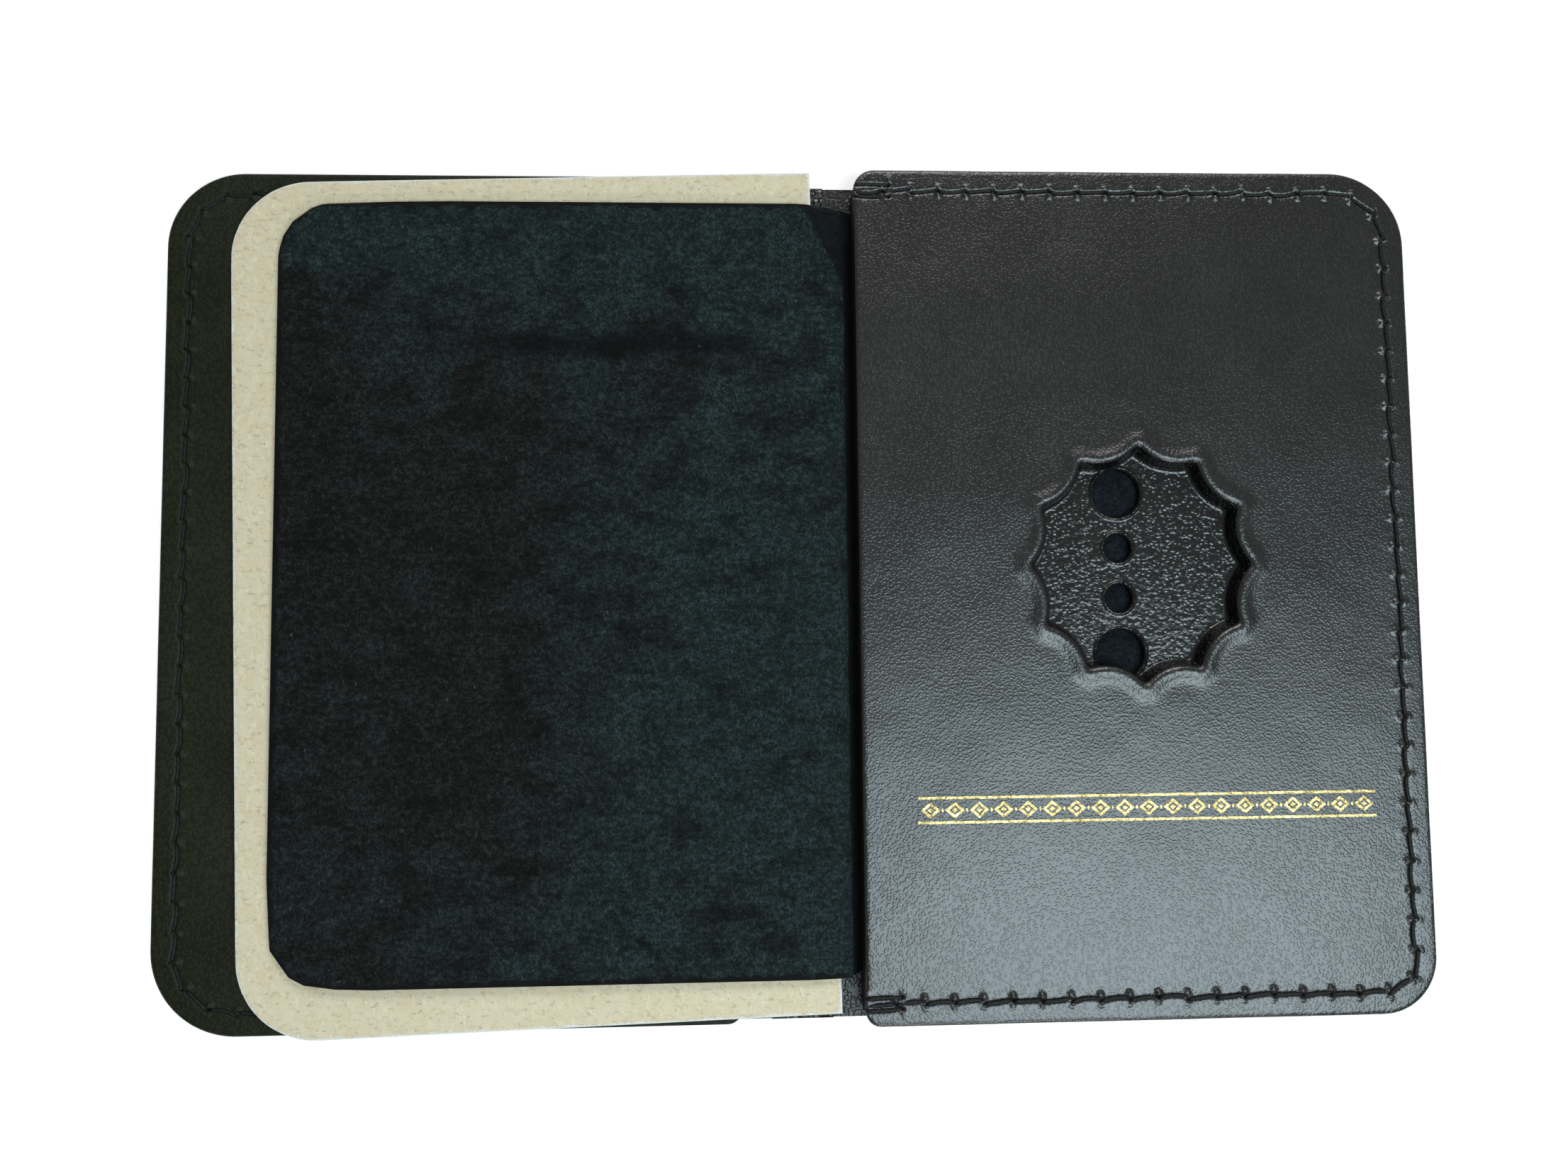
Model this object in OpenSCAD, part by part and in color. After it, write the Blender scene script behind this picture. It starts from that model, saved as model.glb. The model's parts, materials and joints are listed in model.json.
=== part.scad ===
// Badge and card wallet, lying open. The origin is on the table under the middle of the spine.
// +X points to the badge side, +Y to the top edge and +Z up.

/* [Leaves] */
// Height of both leaves
leaf_h = 107; // [90:1:130]
// Width of one leaf, from its open edge at the spine to its outer edge
leaf_w = 71.5; // [64:0.5:90]
// Distance between the open edges of the two leaves
spine_span = 15; // [14.5:0.5:22]
// Corner radius of the badge leaf, outer top
badge_top_r = 9.5; // [6:0.5:12]
// Corner radius of the badge leaf, outer bottom
badge_bottom_r = 7; // [6:0.5:12]
// Corner radius of the card leaf, outer top
card_top_r = 9.5; // [6:0.5:12]
// Corner radius of the card leaf, outer bottom
card_bottom_r = 10.5; // [6:0.5:12]
// Corner radius of the leaves at the spine, top
open_top_r = 2.6; // [1:0.1:3]
// Corner radius of the leaves at the spine, bottom
open_bottom_r = 1.8; // [1:0.1:3]

/* [Leather] */
// Thickness of the outer shell
shell_t = 1.2; // [1:0.1:1.6]
// Thickness of the suede leather that lines the badge leaf and runs on as the flap
suede_t = 1; // [0.7:0.1:1.3]
// Thickness of the stiffener board under the badge panel
stiffener_t = 2.4; // [1.5:0.1:3]
// Thickness of the badge panel's leather
panel_t = 0.9; // [0.7:0.1:1.4]
// Thickness of the liner behind the card
liner_t = 0.4; // [0.3:0.1:0.8]
// Thickness of the clear window sheet
window_t = 0.3; // [0.2:0.1:0.5]
// Thickness of the leather frame round the window
frame_t = 1; // [0.9:0.1:1.4]

/* [Spine] */
// How far the spine stands back from the leaves' top edge
spine_top_inset = 0.9; // [0:0.1:2]
// How far the spine stands back from the leaves' bottom edge
spine_bottom_inset = 0.2; // [0:0.1:2]
// Thickness of the lining that is glued inside the spine
spine_lining_t = 0.3; // [0.2:0.1:0.4]
// Slit at each crease where the leather bends
crease_gap = 0.2; // [0.1:0.05:0.3]
// Width of the strip between the crease that closes and the crease that folds back
strip_w = 2; // [1.5:0.1:2.2]

/* [Badge recess] */
// Height of the recess centre above the leaf's middle
recess_rise = 3.1; // [-10:0.1:10]
// Number of scallops round the recess
scallops = 12; // [10:1:14]
// Radius of the two circles that the recess's points lie on, one for its upper half and one for its lower
point_r = 14.4; // [12:0.1:16]
// How far the middle of each circle lies above or below the recess centre
recess_stretch = 0.6; // [0:0.1:1]
// How far below the recess centre the rays through its points meet
points_drop = 0.35; // [0:0.05:1]
// How far each scallop bulges in from the line between two points
scallop_depth = 1.3; // [0.8:0.1:1.8]
// How much the points are blunted
point_blunt = 0.25; // [0.1:0.05:0.5]
// Run of the sloping wall from its top to its foot
wall_run = 0.5; // [0.4:0.1:1.2]
// Width of the raised lip round the recess
lip_w = 0.9; // [0.5:0.1:1.4]
// Height of the raised lip
lip_h = 0.25; // [0.15:0.05:0.4]
// Slope on the outside of the lip
lip_slope = 0.3; // [0.1:0.05:0.4]
// Clearance between the pressed leather and the stiffener's cut-out
press_gap = 0.1; // [0.05:0.05:0.2]

/* [Badge holes] */
// Diameter of the two holes for the badge's posts
post_d = 6.1; // [4:0.1:6.5]
// Distance between the post holes
post_pitch = 20.5; // [18:0.1:21]
// Diameter of the two holes for the badge's pin
pin_d = 3.5; // [2:0.1:3.6]
// Distance between the pin holes
pin_pitch = 6.4; // [5:0.1:8]
// How far the row of holes stands off the recess centre, towards the spine
holes_aside = 2.3; // [0:0.1:3]
// How far the middle of the row lies below the recess centre
holes_drop = 1.3; // [0:0.1:2]
// How much wider the holes are where they cut into the recess wall
wall_relief = 0.3; // [0.2:0.05:0.5]

/* [Card window] */
// Width of the frame on each side of the window
stile_w = 10.75; // [9.75:0.25:14]
// Width of the frame above and below the window
rail_w = 13; // [11.5:0.5:17]
// Corner radius of the window
window_r = 3; // [1:0.5:6]
// Radius of the thumb notch in the window's lower edge
thumb_r = 8; // [6:0.5:10]

/* [Stitching] */
// Distance of the stitch line from the leaf's edge
stitch_inset = 2.7; // [2.2:0.1:3.5]
// Stitch length, from hole to hole
stitch_pitch = 3.6; // [2.5:0.1:5]
// Gap between two stitches, where the thread goes down
stitch_gap = 0.5; // [0.3:0.1:1]
// Diameter of the thread
thread_d = 0.7; // [0.5:0.05:0.8]
// Width of the groove that the stitches lie in
groove_w = 1.1; // [0.9:0.1:1.4]
// How far the stitches stand above the badge leaf
thread_proud = 0.2; // [0:0.05:0.2]
// Length of the back-tacks at the spine
tack_l = 4.6; // [3:0.1:8]
// Distance between the rows of a back-tack
tack_pitch = 0.85; // [0.75:0.05:1.2]

/* [Flap] */
// How much shorter than a leaf the flap is
flap_trim = 10.6; // [7:0.2:26]
// How far the flap's middle lies above the leaf's middle
flap_rise = 0.7; // [-3:0.1:3]
// How far the flap's free edge stands back from the card leaf's outer edge
flap_short = 14.8; // [11:0.2:28]
// Corner radius at the flap's free edge
flap_r = 6.8; // [3:0.2:12]
// Distance of the flap's turning line from the badge leaf's open edge
turn_back = 0.9; // [0.8:0.05:1.2]
// Distance from the turning line to where the flap lies flat
bend_run = 2; // [2:0.1:2.5]

/* [Insert] */
// How much wider than a leaf the loose chipboard insert is
insert_over = 1.5; // [0:0.1:2]
// How much shorter than a leaf the insert is
insert_trim = 1; // [0:0.1:10]
// Thickness of the insert
insert_t = 0.8; // [0.5:0.1:1.2]
// Radius of the insert's two outer corners
insert_r = 9.8; // [4:0.2:14]
// Angle at which the insert lies askew
insert_turn = 1.5; // [0:0.1:3]
// How far the insert's inner edge lies beyond the middle of the spine
insert_past = 3.4; // [-4:0.1:3.4]
// How far the insert's middle lies below the leaf's middle
insert_drop = 0.2; // [-2:0.1:2]

/* [Clearances] */
// Air left between loose layers that lie on each other
layer_gap = 0.2; // [0.15:0.05:0.5]

/* [Hidden] */
$fn = 48;

// Cuts run past the faces that they open by this much
overrun = 1;

// Plan: the open edge of a leaf, its outer edge and half its height
open_x = spine_span / 2;
outer_x = open_x + leaf_w;
half_h = leaf_h / 2;

// Levels of the badge leaf, from the table up
fold_z = shell_t / 2;
stiffener_z = shell_t + suede_t;
panel_z = stiffener_z + stiffener_t;
badge_top_z = panel_z + panel_t;
lip_top_z = badge_top_z + lip_h;
floor_z = stiffener_z + panel_t;

// Levels of the card leaf and of what lies loose on it
window_z = shell_t + liner_t;
frame_z = window_z + window_t;
card_top_z = frame_z + frame_t;
insert_z = card_top_z + layer_gap;
insert_top_z = insert_z + insert_t;
flap_z = insert_top_z + layer_gap;
flap_top_z = flap_z + suede_t;

// The flap turns about a line high enough to lay it on the recess lip
turn_x = open_x - turn_back;
turn_z = (flap_top_z + lip_top_z + layer_gap) / 2;
flap_end_x = turn_x - bend_run;
root_w = open_x - flap_end_x;

// Closed, the wallet is as high as its layers, and the spine has to span that
closed_flap_top_z = 2 * turn_z - flap_z;
closed_h = closed_flap_top_z + layer_gap + insert_top_z;
spine_wall = closed_h - 2 * fold_z;

// The three creases: two that close beside the spine, and one that folds back beyond the strip
crease_a = spine_wall / 2;
crease_c = -crease_a;
crease_d = crease_c - strip_w;
spine_top_y = half_h - spine_top_inset;
spine_bottom_y = spine_bottom_inset - half_h;

// The recess, a little higher than wide
recess_x = open_x + leaf_w / 2;
tip_r = point_r - point_blunt;
holes_x = recess_x - holes_aside;
holes_y = recess_rise - holes_drop;

// The card window is centred on its leaf
window_x = recess_x;
window_w = leaf_w - 2 * stile_w;
window_h = leaf_h - 2 * rail_w;

// The flap and the insert go by the leaf that they lie on
flap_h = leaf_h - flap_trim;
flap_reach = outer_x - flap_short;
insert_w = leaf_w + insert_over;
insert_h = leaf_h - insert_trim;
insert_mid = insert_w / 2 - insert_past;

// The stitch line, counted from the open edge at the bottom round to the top
line_x = outer_x - stitch_inset;
line_y = half_h - stitch_inset;
groove_in = stitch_inset + groove_w / 2;
groove_out = stitch_inset - groove_w / 2;
badge_groove = thread_d - thread_proud;
card_groove = thread_d - layer_gap / 2;
outer_groove = thread_d;
thread_tip = thread_d / 4;

// Points that describe the curved root of the flap
root_steps = 12;

// Points of one corner of an outline, cut off where its round begins
function corner(p, before, after, r) = r > 0 ? [p + r * before, p + r * after] : [p];

// A plate with its own radius at each corner: bottom left, bottom right, top right, top left
module plate_2d(x0, y0, x1, y1, r) {
    polygon(concat(
        corner([x0, y0], [0, 1], [1, 0], r[0]),
        corner([x1, y0], [-1, 0], [0, 1], r[1]),
        corner([x1, y1], [0, -1], [-1, 0], r[2]),
        corner([x0, y1], [1, 0], [0, -1], r[3])
    ));
    places = [
        [x0 + r[0], y0 + r[0]], [x1 - r[1], y0 + r[1]],
        [x1 - r[2], y1 - r[2]], [x0 + r[3], y1 - r[3]]
    ];
    for (i = [0:3])
        if (r[i] > 0)
            translate(places[i]) circle(r[i]);
}

// Outline of a leaf on the +X side
module leaf_2d(top_r, bottom_r) {
    plate_2d(open_x, -half_h, outer_x, half_h, [open_bottom_r, bottom_r, top_r, open_top_r]);
}

// Everything inside a line at a given distance from the leaf's stitched edges
module inside_line_2d(inset, top_r, bottom_r, start_x) {
    plate_2d(start_x, inset - half_h, outer_x - inset, half_h - inset,
        [0, bottom_r - inset, top_r - inset, 0]);
}

// The stitch groove: a band along the three sewn edges, open towards the spine
module groove_2d(top_r, bottom_r) {
    difference() {
        inside_line_2d(groove_out, top_r, bottom_r, open_x - overrun);
        inside_line_2d(groove_in, top_r, bottom_r, open_x - 2 * overrun);
    }
}

// The two wider grooves for the back-tacks
module tack_grooves_2d() {
    for (side = [-1, 1])
        translate([open_x - overrun, side * line_y - tack_pitch - groove_w / 2])
            square([tack_l + overrun, 2 * tack_pitch + groove_w]);
}

// A layer of leather or board
module layer(z, t) {
    translate([0, 0, z]) linear_extrude(height = t) children();
}

// The card leaf is laid out on the +X side and mirrored
module on_card_side() {
    mirror([1, 0, 0]) children();
}

// A bar with a given section in X and Z, running in Y from one height to another
module bar_y(points, y0, y1) {
    translate([0, y1, 0]) rotate([90, 0, 0])
        linear_extrude(height = y1 - y0) polygon(points);
}

// Section of the shell between two creases, bevelled at the top where a crease closes
function strip_section(left, left_bevel, right, right_bevel) = [
    [left + crease_gap / 2, 0],
    [right - crease_gap / 2, 0],
    [right - crease_gap / 2, fold_z],
    [right - crease_gap / 2 - right_bevel, shell_t],
    [left + crease_gap / 2 + left_bevel, shell_t],
    [left + crease_gap / 2, fold_z]
];

// One leaf of the shell with the margin that reaches to its crease
module shell_leaf(top_r, bottom_r, margin) {
    difference() {
        union() {
            layer(0, shell_t) leaf_2d(top_r, bottom_r);
            bar_y(margin, spine_bottom_y, spine_top_y);
        }
        layer(-overrun, outer_groove + overrun) {
            groove_2d(top_r, bottom_r);
            tack_grooves_2d();
        }
    }
}

// Where a stitch lies: its place and direction at a distance along the stitch line
function line_parts(top_r, bottom_r) = [
    line_x - (bottom_r - stitch_inset) - open_x,
    (bottom_r - stitch_inset) * PI / 2,
    2 * line_y - (bottom_r - stitch_inset) - (top_r - stitch_inset),
    (top_r - stitch_inset) * PI / 2,
    line_x - (top_r - stitch_inset) - open_x
];
function line_length(parts) = parts[0] + parts[1] + parts[2] + parts[3] + parts[4];
function on_bottom(s) = [open_x + s, -line_y, 0];
function on_arc(x, y, r, start, s) =
    let (a = start + 90 * s / (r * PI / 2)) [x + r * cos(a), y + r * sin(a), a + 90];
function on_side(s, bottom_r) = [line_x, -line_y + (bottom_r - stitch_inset) + s, 90];
function on_top(s, top_r) = [line_x - (top_r - stitch_inset) - s, line_y, 180];
function stitch_at(s, p, top_r, bottom_r) =
    let (rb = bottom_r - stitch_inset, rt = top_r - stitch_inset)
    s < p[0] ? on_bottom(s) :
    s < p[0] + p[1] ? on_arc(line_x - rb, rb - line_y, rb, -90, s - p[0]) :
    s < p[0] + p[1] + p[2] ? on_side(s - p[0] - p[1], bottom_r) :
    s < line_length(p) - p[4] ? on_arc(line_x - rt, line_y - rt, rt, 0, s - p[0] - p[1] - p[2]) :
    on_top(s - p[0] - p[1] - p[2] - p[3], top_r);

// One stitch: a length of thread along X that thins where it goes down into the leather
module stitch(length) {
    half = length / 2;
    rotate([0, 90, 0]) rotate_extrude() polygon([
        [0, -half], [thread_tip, -half], [thread_d / 2, thread_d / 2 - half],
        [thread_d / 2, half - thread_d / 2], [thread_tip, half], [0, half]
    ]);
}

// The row of stitches round a leaf, with the thread's middle at a given level
module stitch_row(z, top_r, bottom_r) {
    parts = line_parts(top_r, bottom_r);
    total = line_length(parts);
    count = round(total / stitch_pitch);
    step = total / count;
    for (i = [0:count - 1]) {
        at = stitch_at((i + 0.5) * step, parts, top_r, bottom_r);
        translate([at[0], at[1], z]) rotate([0, 0, at[2]]) stitch(step - stitch_gap);
    }
}

// Two short rows beside the stitch line at each end of the seam
module back_tacks(z) {
    for (side = [-1, 1], row = [-1, 1])
        translate([open_x + tack_l / 2, side * line_y + row * tack_pitch, z])
            stitch(tack_l - stitch_gap);
}

// A point of the recess: where a ray from below the middle meets its half's circle
function recess_point(i) =
    let (a = 90 + 360 * i / scallops, drop = points_drop + (sin(a) > 0 ? 1 : -1) * recess_stretch,
        off = drop * sin(a), far = off + sqrt(off * off + point_r * point_r - drop * drop))
    [far * cos(a), far * sin(a) - points_drop];

// The circle outside the recess that leaves one scallop between two points: its middle and radius
function scallop_circle(i) =
    let (p = recess_point(i), q = recess_point(i + 1), mid = (p + q) / 2, half = norm(q - p) / 2,
        r = (half * half + scallop_depth * scallop_depth) / (2 * scallop_depth))
    concat(mid + (r - scallop_depth) * [q[1] - p[1], p[0] - q[0]] / (2 * half), r);

// Outline of the recess, grown outwards all round by a given distance
module scallop_2d(grow) {
    difference() {
        for (side = [-1, 1])
            translate([0, side * recess_stretch]) circle(tip_r + grow);
        for (i = [0:scallops - 1]) {
            outside = scallop_circle(i);
            translate([outside[0], outside[1]]) circle(outside[2] - grow);
        }
    }
}

// A solid with the recess outline whose sides slope from one growth to another
module scallop_solid(z, t, bottom_grow, top_grow) {
    translate([0, 0, z]) difference() {
        for (side = [-1, 1])
            translate([0, side * recess_stretch, 0])
                cylinder(h = t, r1 = tip_r + bottom_grow, r2 = tip_r + top_grow);
        for (i = [0:scallops - 1]) {
            outside = scallop_circle(i);
            translate([outside[0], outside[1], 0])
                cylinder(h = t, r1 = outside[2] - bottom_grow, r2 = outside[2] - top_grow);
        }
    }
}

// The four holes for the badge's posts and pin, grown all round by a given distance
module badge_holes(z, t, grow) {
    for (side = [-1, 1]) {
        translate([holes_x, holes_y + side * post_pitch / 2, z])
            cylinder(h = t, r = post_d / 2 + grow);
        translate([holes_x, holes_y + side * pin_pitch / 2, z])
            cylinder(h = t, r = pin_d / 2 + grow);
    }
}

module shell_right() {
    color([0.10, 0.10, 0.10]) shell_leaf(badge_top_r, badge_bottom_r,
        strip_section(crease_a, fold_z, open_x + open_top_r + crease_gap / 2, 0));
}

module pocket_lining() {
    color([0.10, 0.15, 0.20]) layer(shell_t, suede_t) leaf_2d(badge_top_r, badge_bottom_r);
}

module badge_board() {
    color([0.45, 0.40, 0.34]) difference() {
        layer(stiffener_z, stiffener_t) leaf_2d(badge_top_r, badge_bottom_r);
        translate([recess_x, recess_rise, stiffener_z - overrun])
            linear_extrude(height = stiffener_t + 2 * overrun) scallop_2d(press_gap);
        badge_holes(stiffener_z - overrun, panel_t + overrun, 0);
    }
}

// The recess is pressed down to the lining and opened by a void with sloping walls
module badge_panel() {
    color([0.22, 0.22, 0.22]) difference() {
        union() {
            layer(panel_z, panel_t) leaf_2d(badge_top_r, badge_bottom_r);
            translate([recess_x, recess_rise, stiffener_z])
                linear_extrude(height = stiffener_t + panel_t / 2) scallop_2d(0);
            translate([recess_x, recess_rise, 0])
                scallop_solid(badge_top_z, lip_h, lip_w, lip_w - lip_slope);
        }
        translate([recess_x, recess_rise, 0]) {
            scallop_solid(floor_z, lip_top_z - floor_z, -wall_run - press_gap, 0);
            layer(lip_top_z, overrun) scallop_2d(0);
        }
        badge_holes(stiffener_z - overrun, panel_t + overrun, 0);
        intersection() {
            badge_holes(floor_z, lip_top_z - floor_z, wall_relief);
            translate([recess_x, recess_rise, floor_z])
                linear_extrude(height = lip_top_z - floor_z) scallop_2d(0);
        }
        layer(badge_top_z - badge_groove, badge_groove + overrun) {
            groove_2d(badge_top_r, badge_bottom_r);
            tack_grooves_2d();
        }
    }
}

module badge_stitching() {
    color([0.06, 0.06, 0.06])
        stitch_row(badge_top_z - badge_groove + thread_d / 2, badge_top_r, badge_bottom_r);
}

module badge_back_tacks() {
    color([0.06, 0.06, 0.06]) back_tacks(badge_top_z - badge_groove + thread_d / 2);
}

module badge_stitching_outer() {
    color([0.06, 0.06, 0.06]) {
        stitch_row(thread_d / 2, badge_top_r, badge_bottom_r);
        back_tacks(thread_d / 2);
    }
}

module shell_spine() {
    color([0.10, 0.10, 0.10])
        bar_y(strip_section(crease_c, fold_z, crease_a, fold_z), spine_bottom_y, spine_top_y);
}

module spine_lining() {
    half_w = crease_a - fold_z - spine_lining_t - crease_gap;
    color([0.14, 0.14, 0.14])
        translate([-half_w, spine_bottom_y, shell_t])
            cube([2 * half_w, spine_top_y - spine_bottom_y, spine_lining_t]);
}

module crease_strip() {
    color([0.10, 0.10, 0.10])
        bar_y(strip_section(crease_d, 0, crease_c, fold_z), spine_bottom_y, spine_top_y);
}

module shell_left() {
    color([0.10, 0.10, 0.10]) on_card_side() shell_leaf(card_top_r, card_bottom_r,
        strip_section(-crease_d, 0, open_x + open_top_r + crease_gap / 2, 0));
}

module card_liner() {
    color([0.12, 0.12, 0.13]) on_card_side() layer(shell_t, liner_t) leaf_2d(card_top_r, card_bottom_r);
}

module id_window() {
    color([0.75, 0.80, 0.82, 0.4]) on_card_side()
        layer(window_z, window_t) leaf_2d(card_top_r, card_bottom_r);
}

module window_frame() {
    color([0.14, 0.14, 0.13]) on_card_side() difference() {
        layer(frame_z, frame_t) leaf_2d(card_top_r, card_bottom_r);
        layer(frame_z - overrun, frame_t + 2 * overrun) {
            plate_2d(window_x - window_w / 2, -window_h / 2, window_x + window_w / 2, window_h / 2,
                [window_r, window_r, window_r, window_r]);
            intersection() {
                translate([window_x, -window_h / 2]) circle(thumb_r);
                translate([window_x - thumb_r, -window_h / 2 - thumb_r])
                    square([2 * thumb_r, thumb_r + window_r]);
            }
        }
        layer(card_top_z - card_groove, card_groove + overrun) {
            groove_2d(card_top_r, card_bottom_r);
            tack_grooves_2d();
        }
    }
}

module card_stitching() {
    color([0.06, 0.06, 0.06]) on_card_side()
        stitch_row(card_top_z - card_groove + thread_d / 2, card_top_r, card_bottom_r);
}

module card_back_tacks() {
    color([0.06, 0.06, 0.06]) on_card_side() back_tacks(card_top_z - card_groove + thread_d / 2);
}

module card_stitching_outer() {
    color([0.06, 0.06, 0.06]) on_card_side() {
        stitch_row(thread_d / 2, card_top_r, card_bottom_r);
        back_tacks(thread_d / 2);
    }
}

module flap() {
    color([0.10, 0.15, 0.20]) layer(flap_z, suede_t)
        plate_2d(-flap_reach, flap_rise - flap_h / 2, flap_end_x, flap_rise + flap_h / 2,
            [flap_r, 0, 0, flap_r]);
}

// The root runs from the lining's edge up to the flap in an S, level at both ends
root_rise = flap_z - shell_t;
function root_mid(t) =
    [open_x - root_w * t, shell_t + suede_t / 2 + root_rise * (1 - cos(180 * t)) / 2];
function root_normal(t) =
    let (run = root_w, rise = root_rise * sin(180 * t) * PI / 2, size = norm([run, rise]))
    [rise / size, run / size];
function root_side(t, side) = root_mid(t) + side * suede_t / 2 * root_normal(t);

module flap_root() {
    color([0.10, 0.15, 0.20])
        bar_y(concat(
            [for (i = [0:root_steps]) root_side(i / root_steps, 1)],
            [for (i = [root_steps:-1:0]) root_side(i / root_steps, -1)]
        ), flap_rise - flap_h / 2, flap_rise + flap_h / 2);
}

module chipboard_insert() {
    color([0.78, 0.76, 0.70])
        translate([-insert_mid, -insert_drop, 0]) rotate([0, 0, insert_turn])
            layer(insert_z, insert_t)
                plate_2d(-insert_w / 2, -insert_h / 2, insert_w / 2, insert_h / 2,
                    [insert_r, 0, 0, insert_r]);
}

shell_right();
pocket_lining();
badge_board();
badge_panel();
badge_stitching();
badge_back_tacks();
badge_stitching_outer();
shell_spine();
spine_lining();
crease_strip();
shell_left();
card_liner();
id_window();
window_frame();
card_stitching();
card_back_tacks();
card_stitching_outer();
flap();
flap_root();
chipboard_insert();
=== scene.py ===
"""Badge and card wallet, lying open: leather, suede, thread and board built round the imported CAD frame."""

import json
import math
import random

import bpy
import numpy as np
from mathutils import Matrix, Vector
from mathutils.geometry import delaunay_2d_cdt

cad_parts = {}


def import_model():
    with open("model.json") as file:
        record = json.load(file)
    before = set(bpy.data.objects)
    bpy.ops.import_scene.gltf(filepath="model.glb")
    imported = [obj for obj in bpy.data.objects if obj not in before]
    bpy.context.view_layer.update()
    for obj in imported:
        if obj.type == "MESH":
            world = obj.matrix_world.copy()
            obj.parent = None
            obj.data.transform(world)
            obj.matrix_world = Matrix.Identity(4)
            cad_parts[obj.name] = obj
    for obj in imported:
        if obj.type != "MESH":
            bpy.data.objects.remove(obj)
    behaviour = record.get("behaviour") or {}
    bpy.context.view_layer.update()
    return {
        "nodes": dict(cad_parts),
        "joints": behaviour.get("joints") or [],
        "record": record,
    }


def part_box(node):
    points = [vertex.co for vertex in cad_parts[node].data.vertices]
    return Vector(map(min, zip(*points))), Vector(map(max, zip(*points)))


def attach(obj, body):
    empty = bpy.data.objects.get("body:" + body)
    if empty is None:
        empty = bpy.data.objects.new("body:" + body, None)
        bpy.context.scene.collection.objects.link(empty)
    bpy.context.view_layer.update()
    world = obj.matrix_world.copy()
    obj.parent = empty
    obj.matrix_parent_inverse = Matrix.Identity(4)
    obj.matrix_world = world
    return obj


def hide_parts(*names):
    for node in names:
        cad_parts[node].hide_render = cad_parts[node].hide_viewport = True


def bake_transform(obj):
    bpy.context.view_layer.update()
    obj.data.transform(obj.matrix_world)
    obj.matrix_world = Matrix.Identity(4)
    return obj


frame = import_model()

# Lengths are in millimetres here, and a mesh is brought to metres as it is made
MM = 0.001


def node_box(name):
    """Lowest and highest corner of a CAD node."""
    low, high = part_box(name)
    return [v / MM for v in low], [v / MM for v in high]


# Plan and levels, read from the frame
PANEL_LOW, PANEL_HIGH = node_box("badge_panel")
FRAME_LOW, FRAME_HIGH = node_box("window_frame")
FLAP_LOW, FLAP_HIGH = node_box("flap")
ROOT_LOW, ROOT_HIGH = node_box("flap_root")
INSERT_LOW, INSERT_HIGH = node_box("chipboard_insert")
SPINE_LOW, SPINE_HIGH = node_box("shell_spine")
OPEN_X, OUTER_X, HALF_H = PANEL_LOW[0], PANEL_HIGH[0], PANEL_HIGH[1]
LIP_H = 0.25  # height of the lip round the recess
BADGE_TOP = PANEL_HIGH[2] - LIP_H
PANEL_T = 0.9
SHELL_T = SPINE_HIGH[2]
SUEDE_T = FLAP_HIGH[2] - FLAP_LOW[2]
JOINT = {j["name"]: [v / MM for v in j.get("pos_m", (0, 0, 0))] for j in frame["joints"]}
CREASE_RIGHT = JOINT["close_crease_right"][0]
CREASE_LEFT = JOINT["close_crease_left"][0]
CREASE_BACK = JOINT["cover_open"][0]

# The slanting fold of the flap's corner by the spine, and its direction
FOLD_A, FOLD_B = np.array([0.6, FLAP_HIGH[1]]), np.array([6.3, 37.5])
FOLD_ALONG = (FOLD_B - FOLD_A) / np.linalg.norm(FOLD_B - FOLD_A)

# Corner radii: bottom open, bottom outer, top outer, top open
BADGE_R = (1.8, 7, 9.5, 2.6)
CARD_R = (1.8, 10.5, 9.5, 2.6)

# Seam
INSET = 2.7  # from the leaf's edge
PITCH = 3.6
THREAD_D = 0.5
TACK_LENGTH = 4.6
TACK_PITCH = 0.85  # from the seam's line to a back-tack beside it

# Recess
RECESS = ((OPEN_X + OUTER_X) / 2, 3.1)  # its middle
SCALLOPS = 12
POINT_R = 14.4  # radius of the circles on which its points lie
TIP_R = 14.15  # radius to which the points are cut back
STRETCH = 0.6  # how far those circles are drawn up and down from the middle
LOW_SHARE = 0.955  # the CAD's lower half as a share of the one made here
POINTS_DROP = 0.35  # how far below the middle the rays to its points start
SCALLOP_DEPTH = 1.3
FLOOR = 3.1

# Relief along a seam, each as height and spread
FURROW = 0.19  # spread of the furrow under the thread
DRAWN_DOWN = (0.12, 0.6)  # the leather beside it, as a share of the furrow's depth
PIT = (-0.2, 0.22)  # needle pit
BUMP_INSIDE = (0.2, 0.36)  # leather pushed up beside a pit, on either side of the seam
BUMP_OUTSIDE = (0.11, 0.3)

# Stitch of twisted thread
AROUND, ALONG = 12, 20  # points round it and lengths along it
PLIES = 3
LAY = 3.0  # length of one turn of its plies
SINK = 0.36  # how deep its ends go into the leather

# Holes: the upper post, the two pins, and the lower post, which lies opposite the upper one
HOLES = [
    (m["pos_m"][0] / MM, m["pos_m"][1] / MM, m["dims"]["r_mm"])
    for m in frame["record"]["mounts"]
    if m["kind"] == "bore"
]
HOLES.append((HOLES[0][0], HOLES[1][1] + HOLES[2][1] - HOLES[0][1], HOLES[0][2]))


# Shapes in plan


def leaf_distance(p, radii, x0=OPEN_X, x1=OUTER_X, y0=-HALF_H, y1=HALF_H):
    """How far each point lies inside a plate whose corners are rounded one by one."""
    p = np.atleast_2d(p)
    mid = np.array([(x0 + x1) / 2, (y0 + y1) / 2])
    half = np.array([(x1 - x0) / 2, (y1 - y0) / 2])
    q = p - mid
    right, top = q[:, 0] > 0, q[:, 1] > 0
    r = np.where(top, np.where(right, radii[2], radii[3]), np.where(right, radii[1], radii[0]))
    w = np.abs(q) - half + r[:, None]
    outside = np.linalg.norm(np.maximum(w, 0), axis=1)
    return r - outside - np.minimum(w.max(axis=1), 0)


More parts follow.
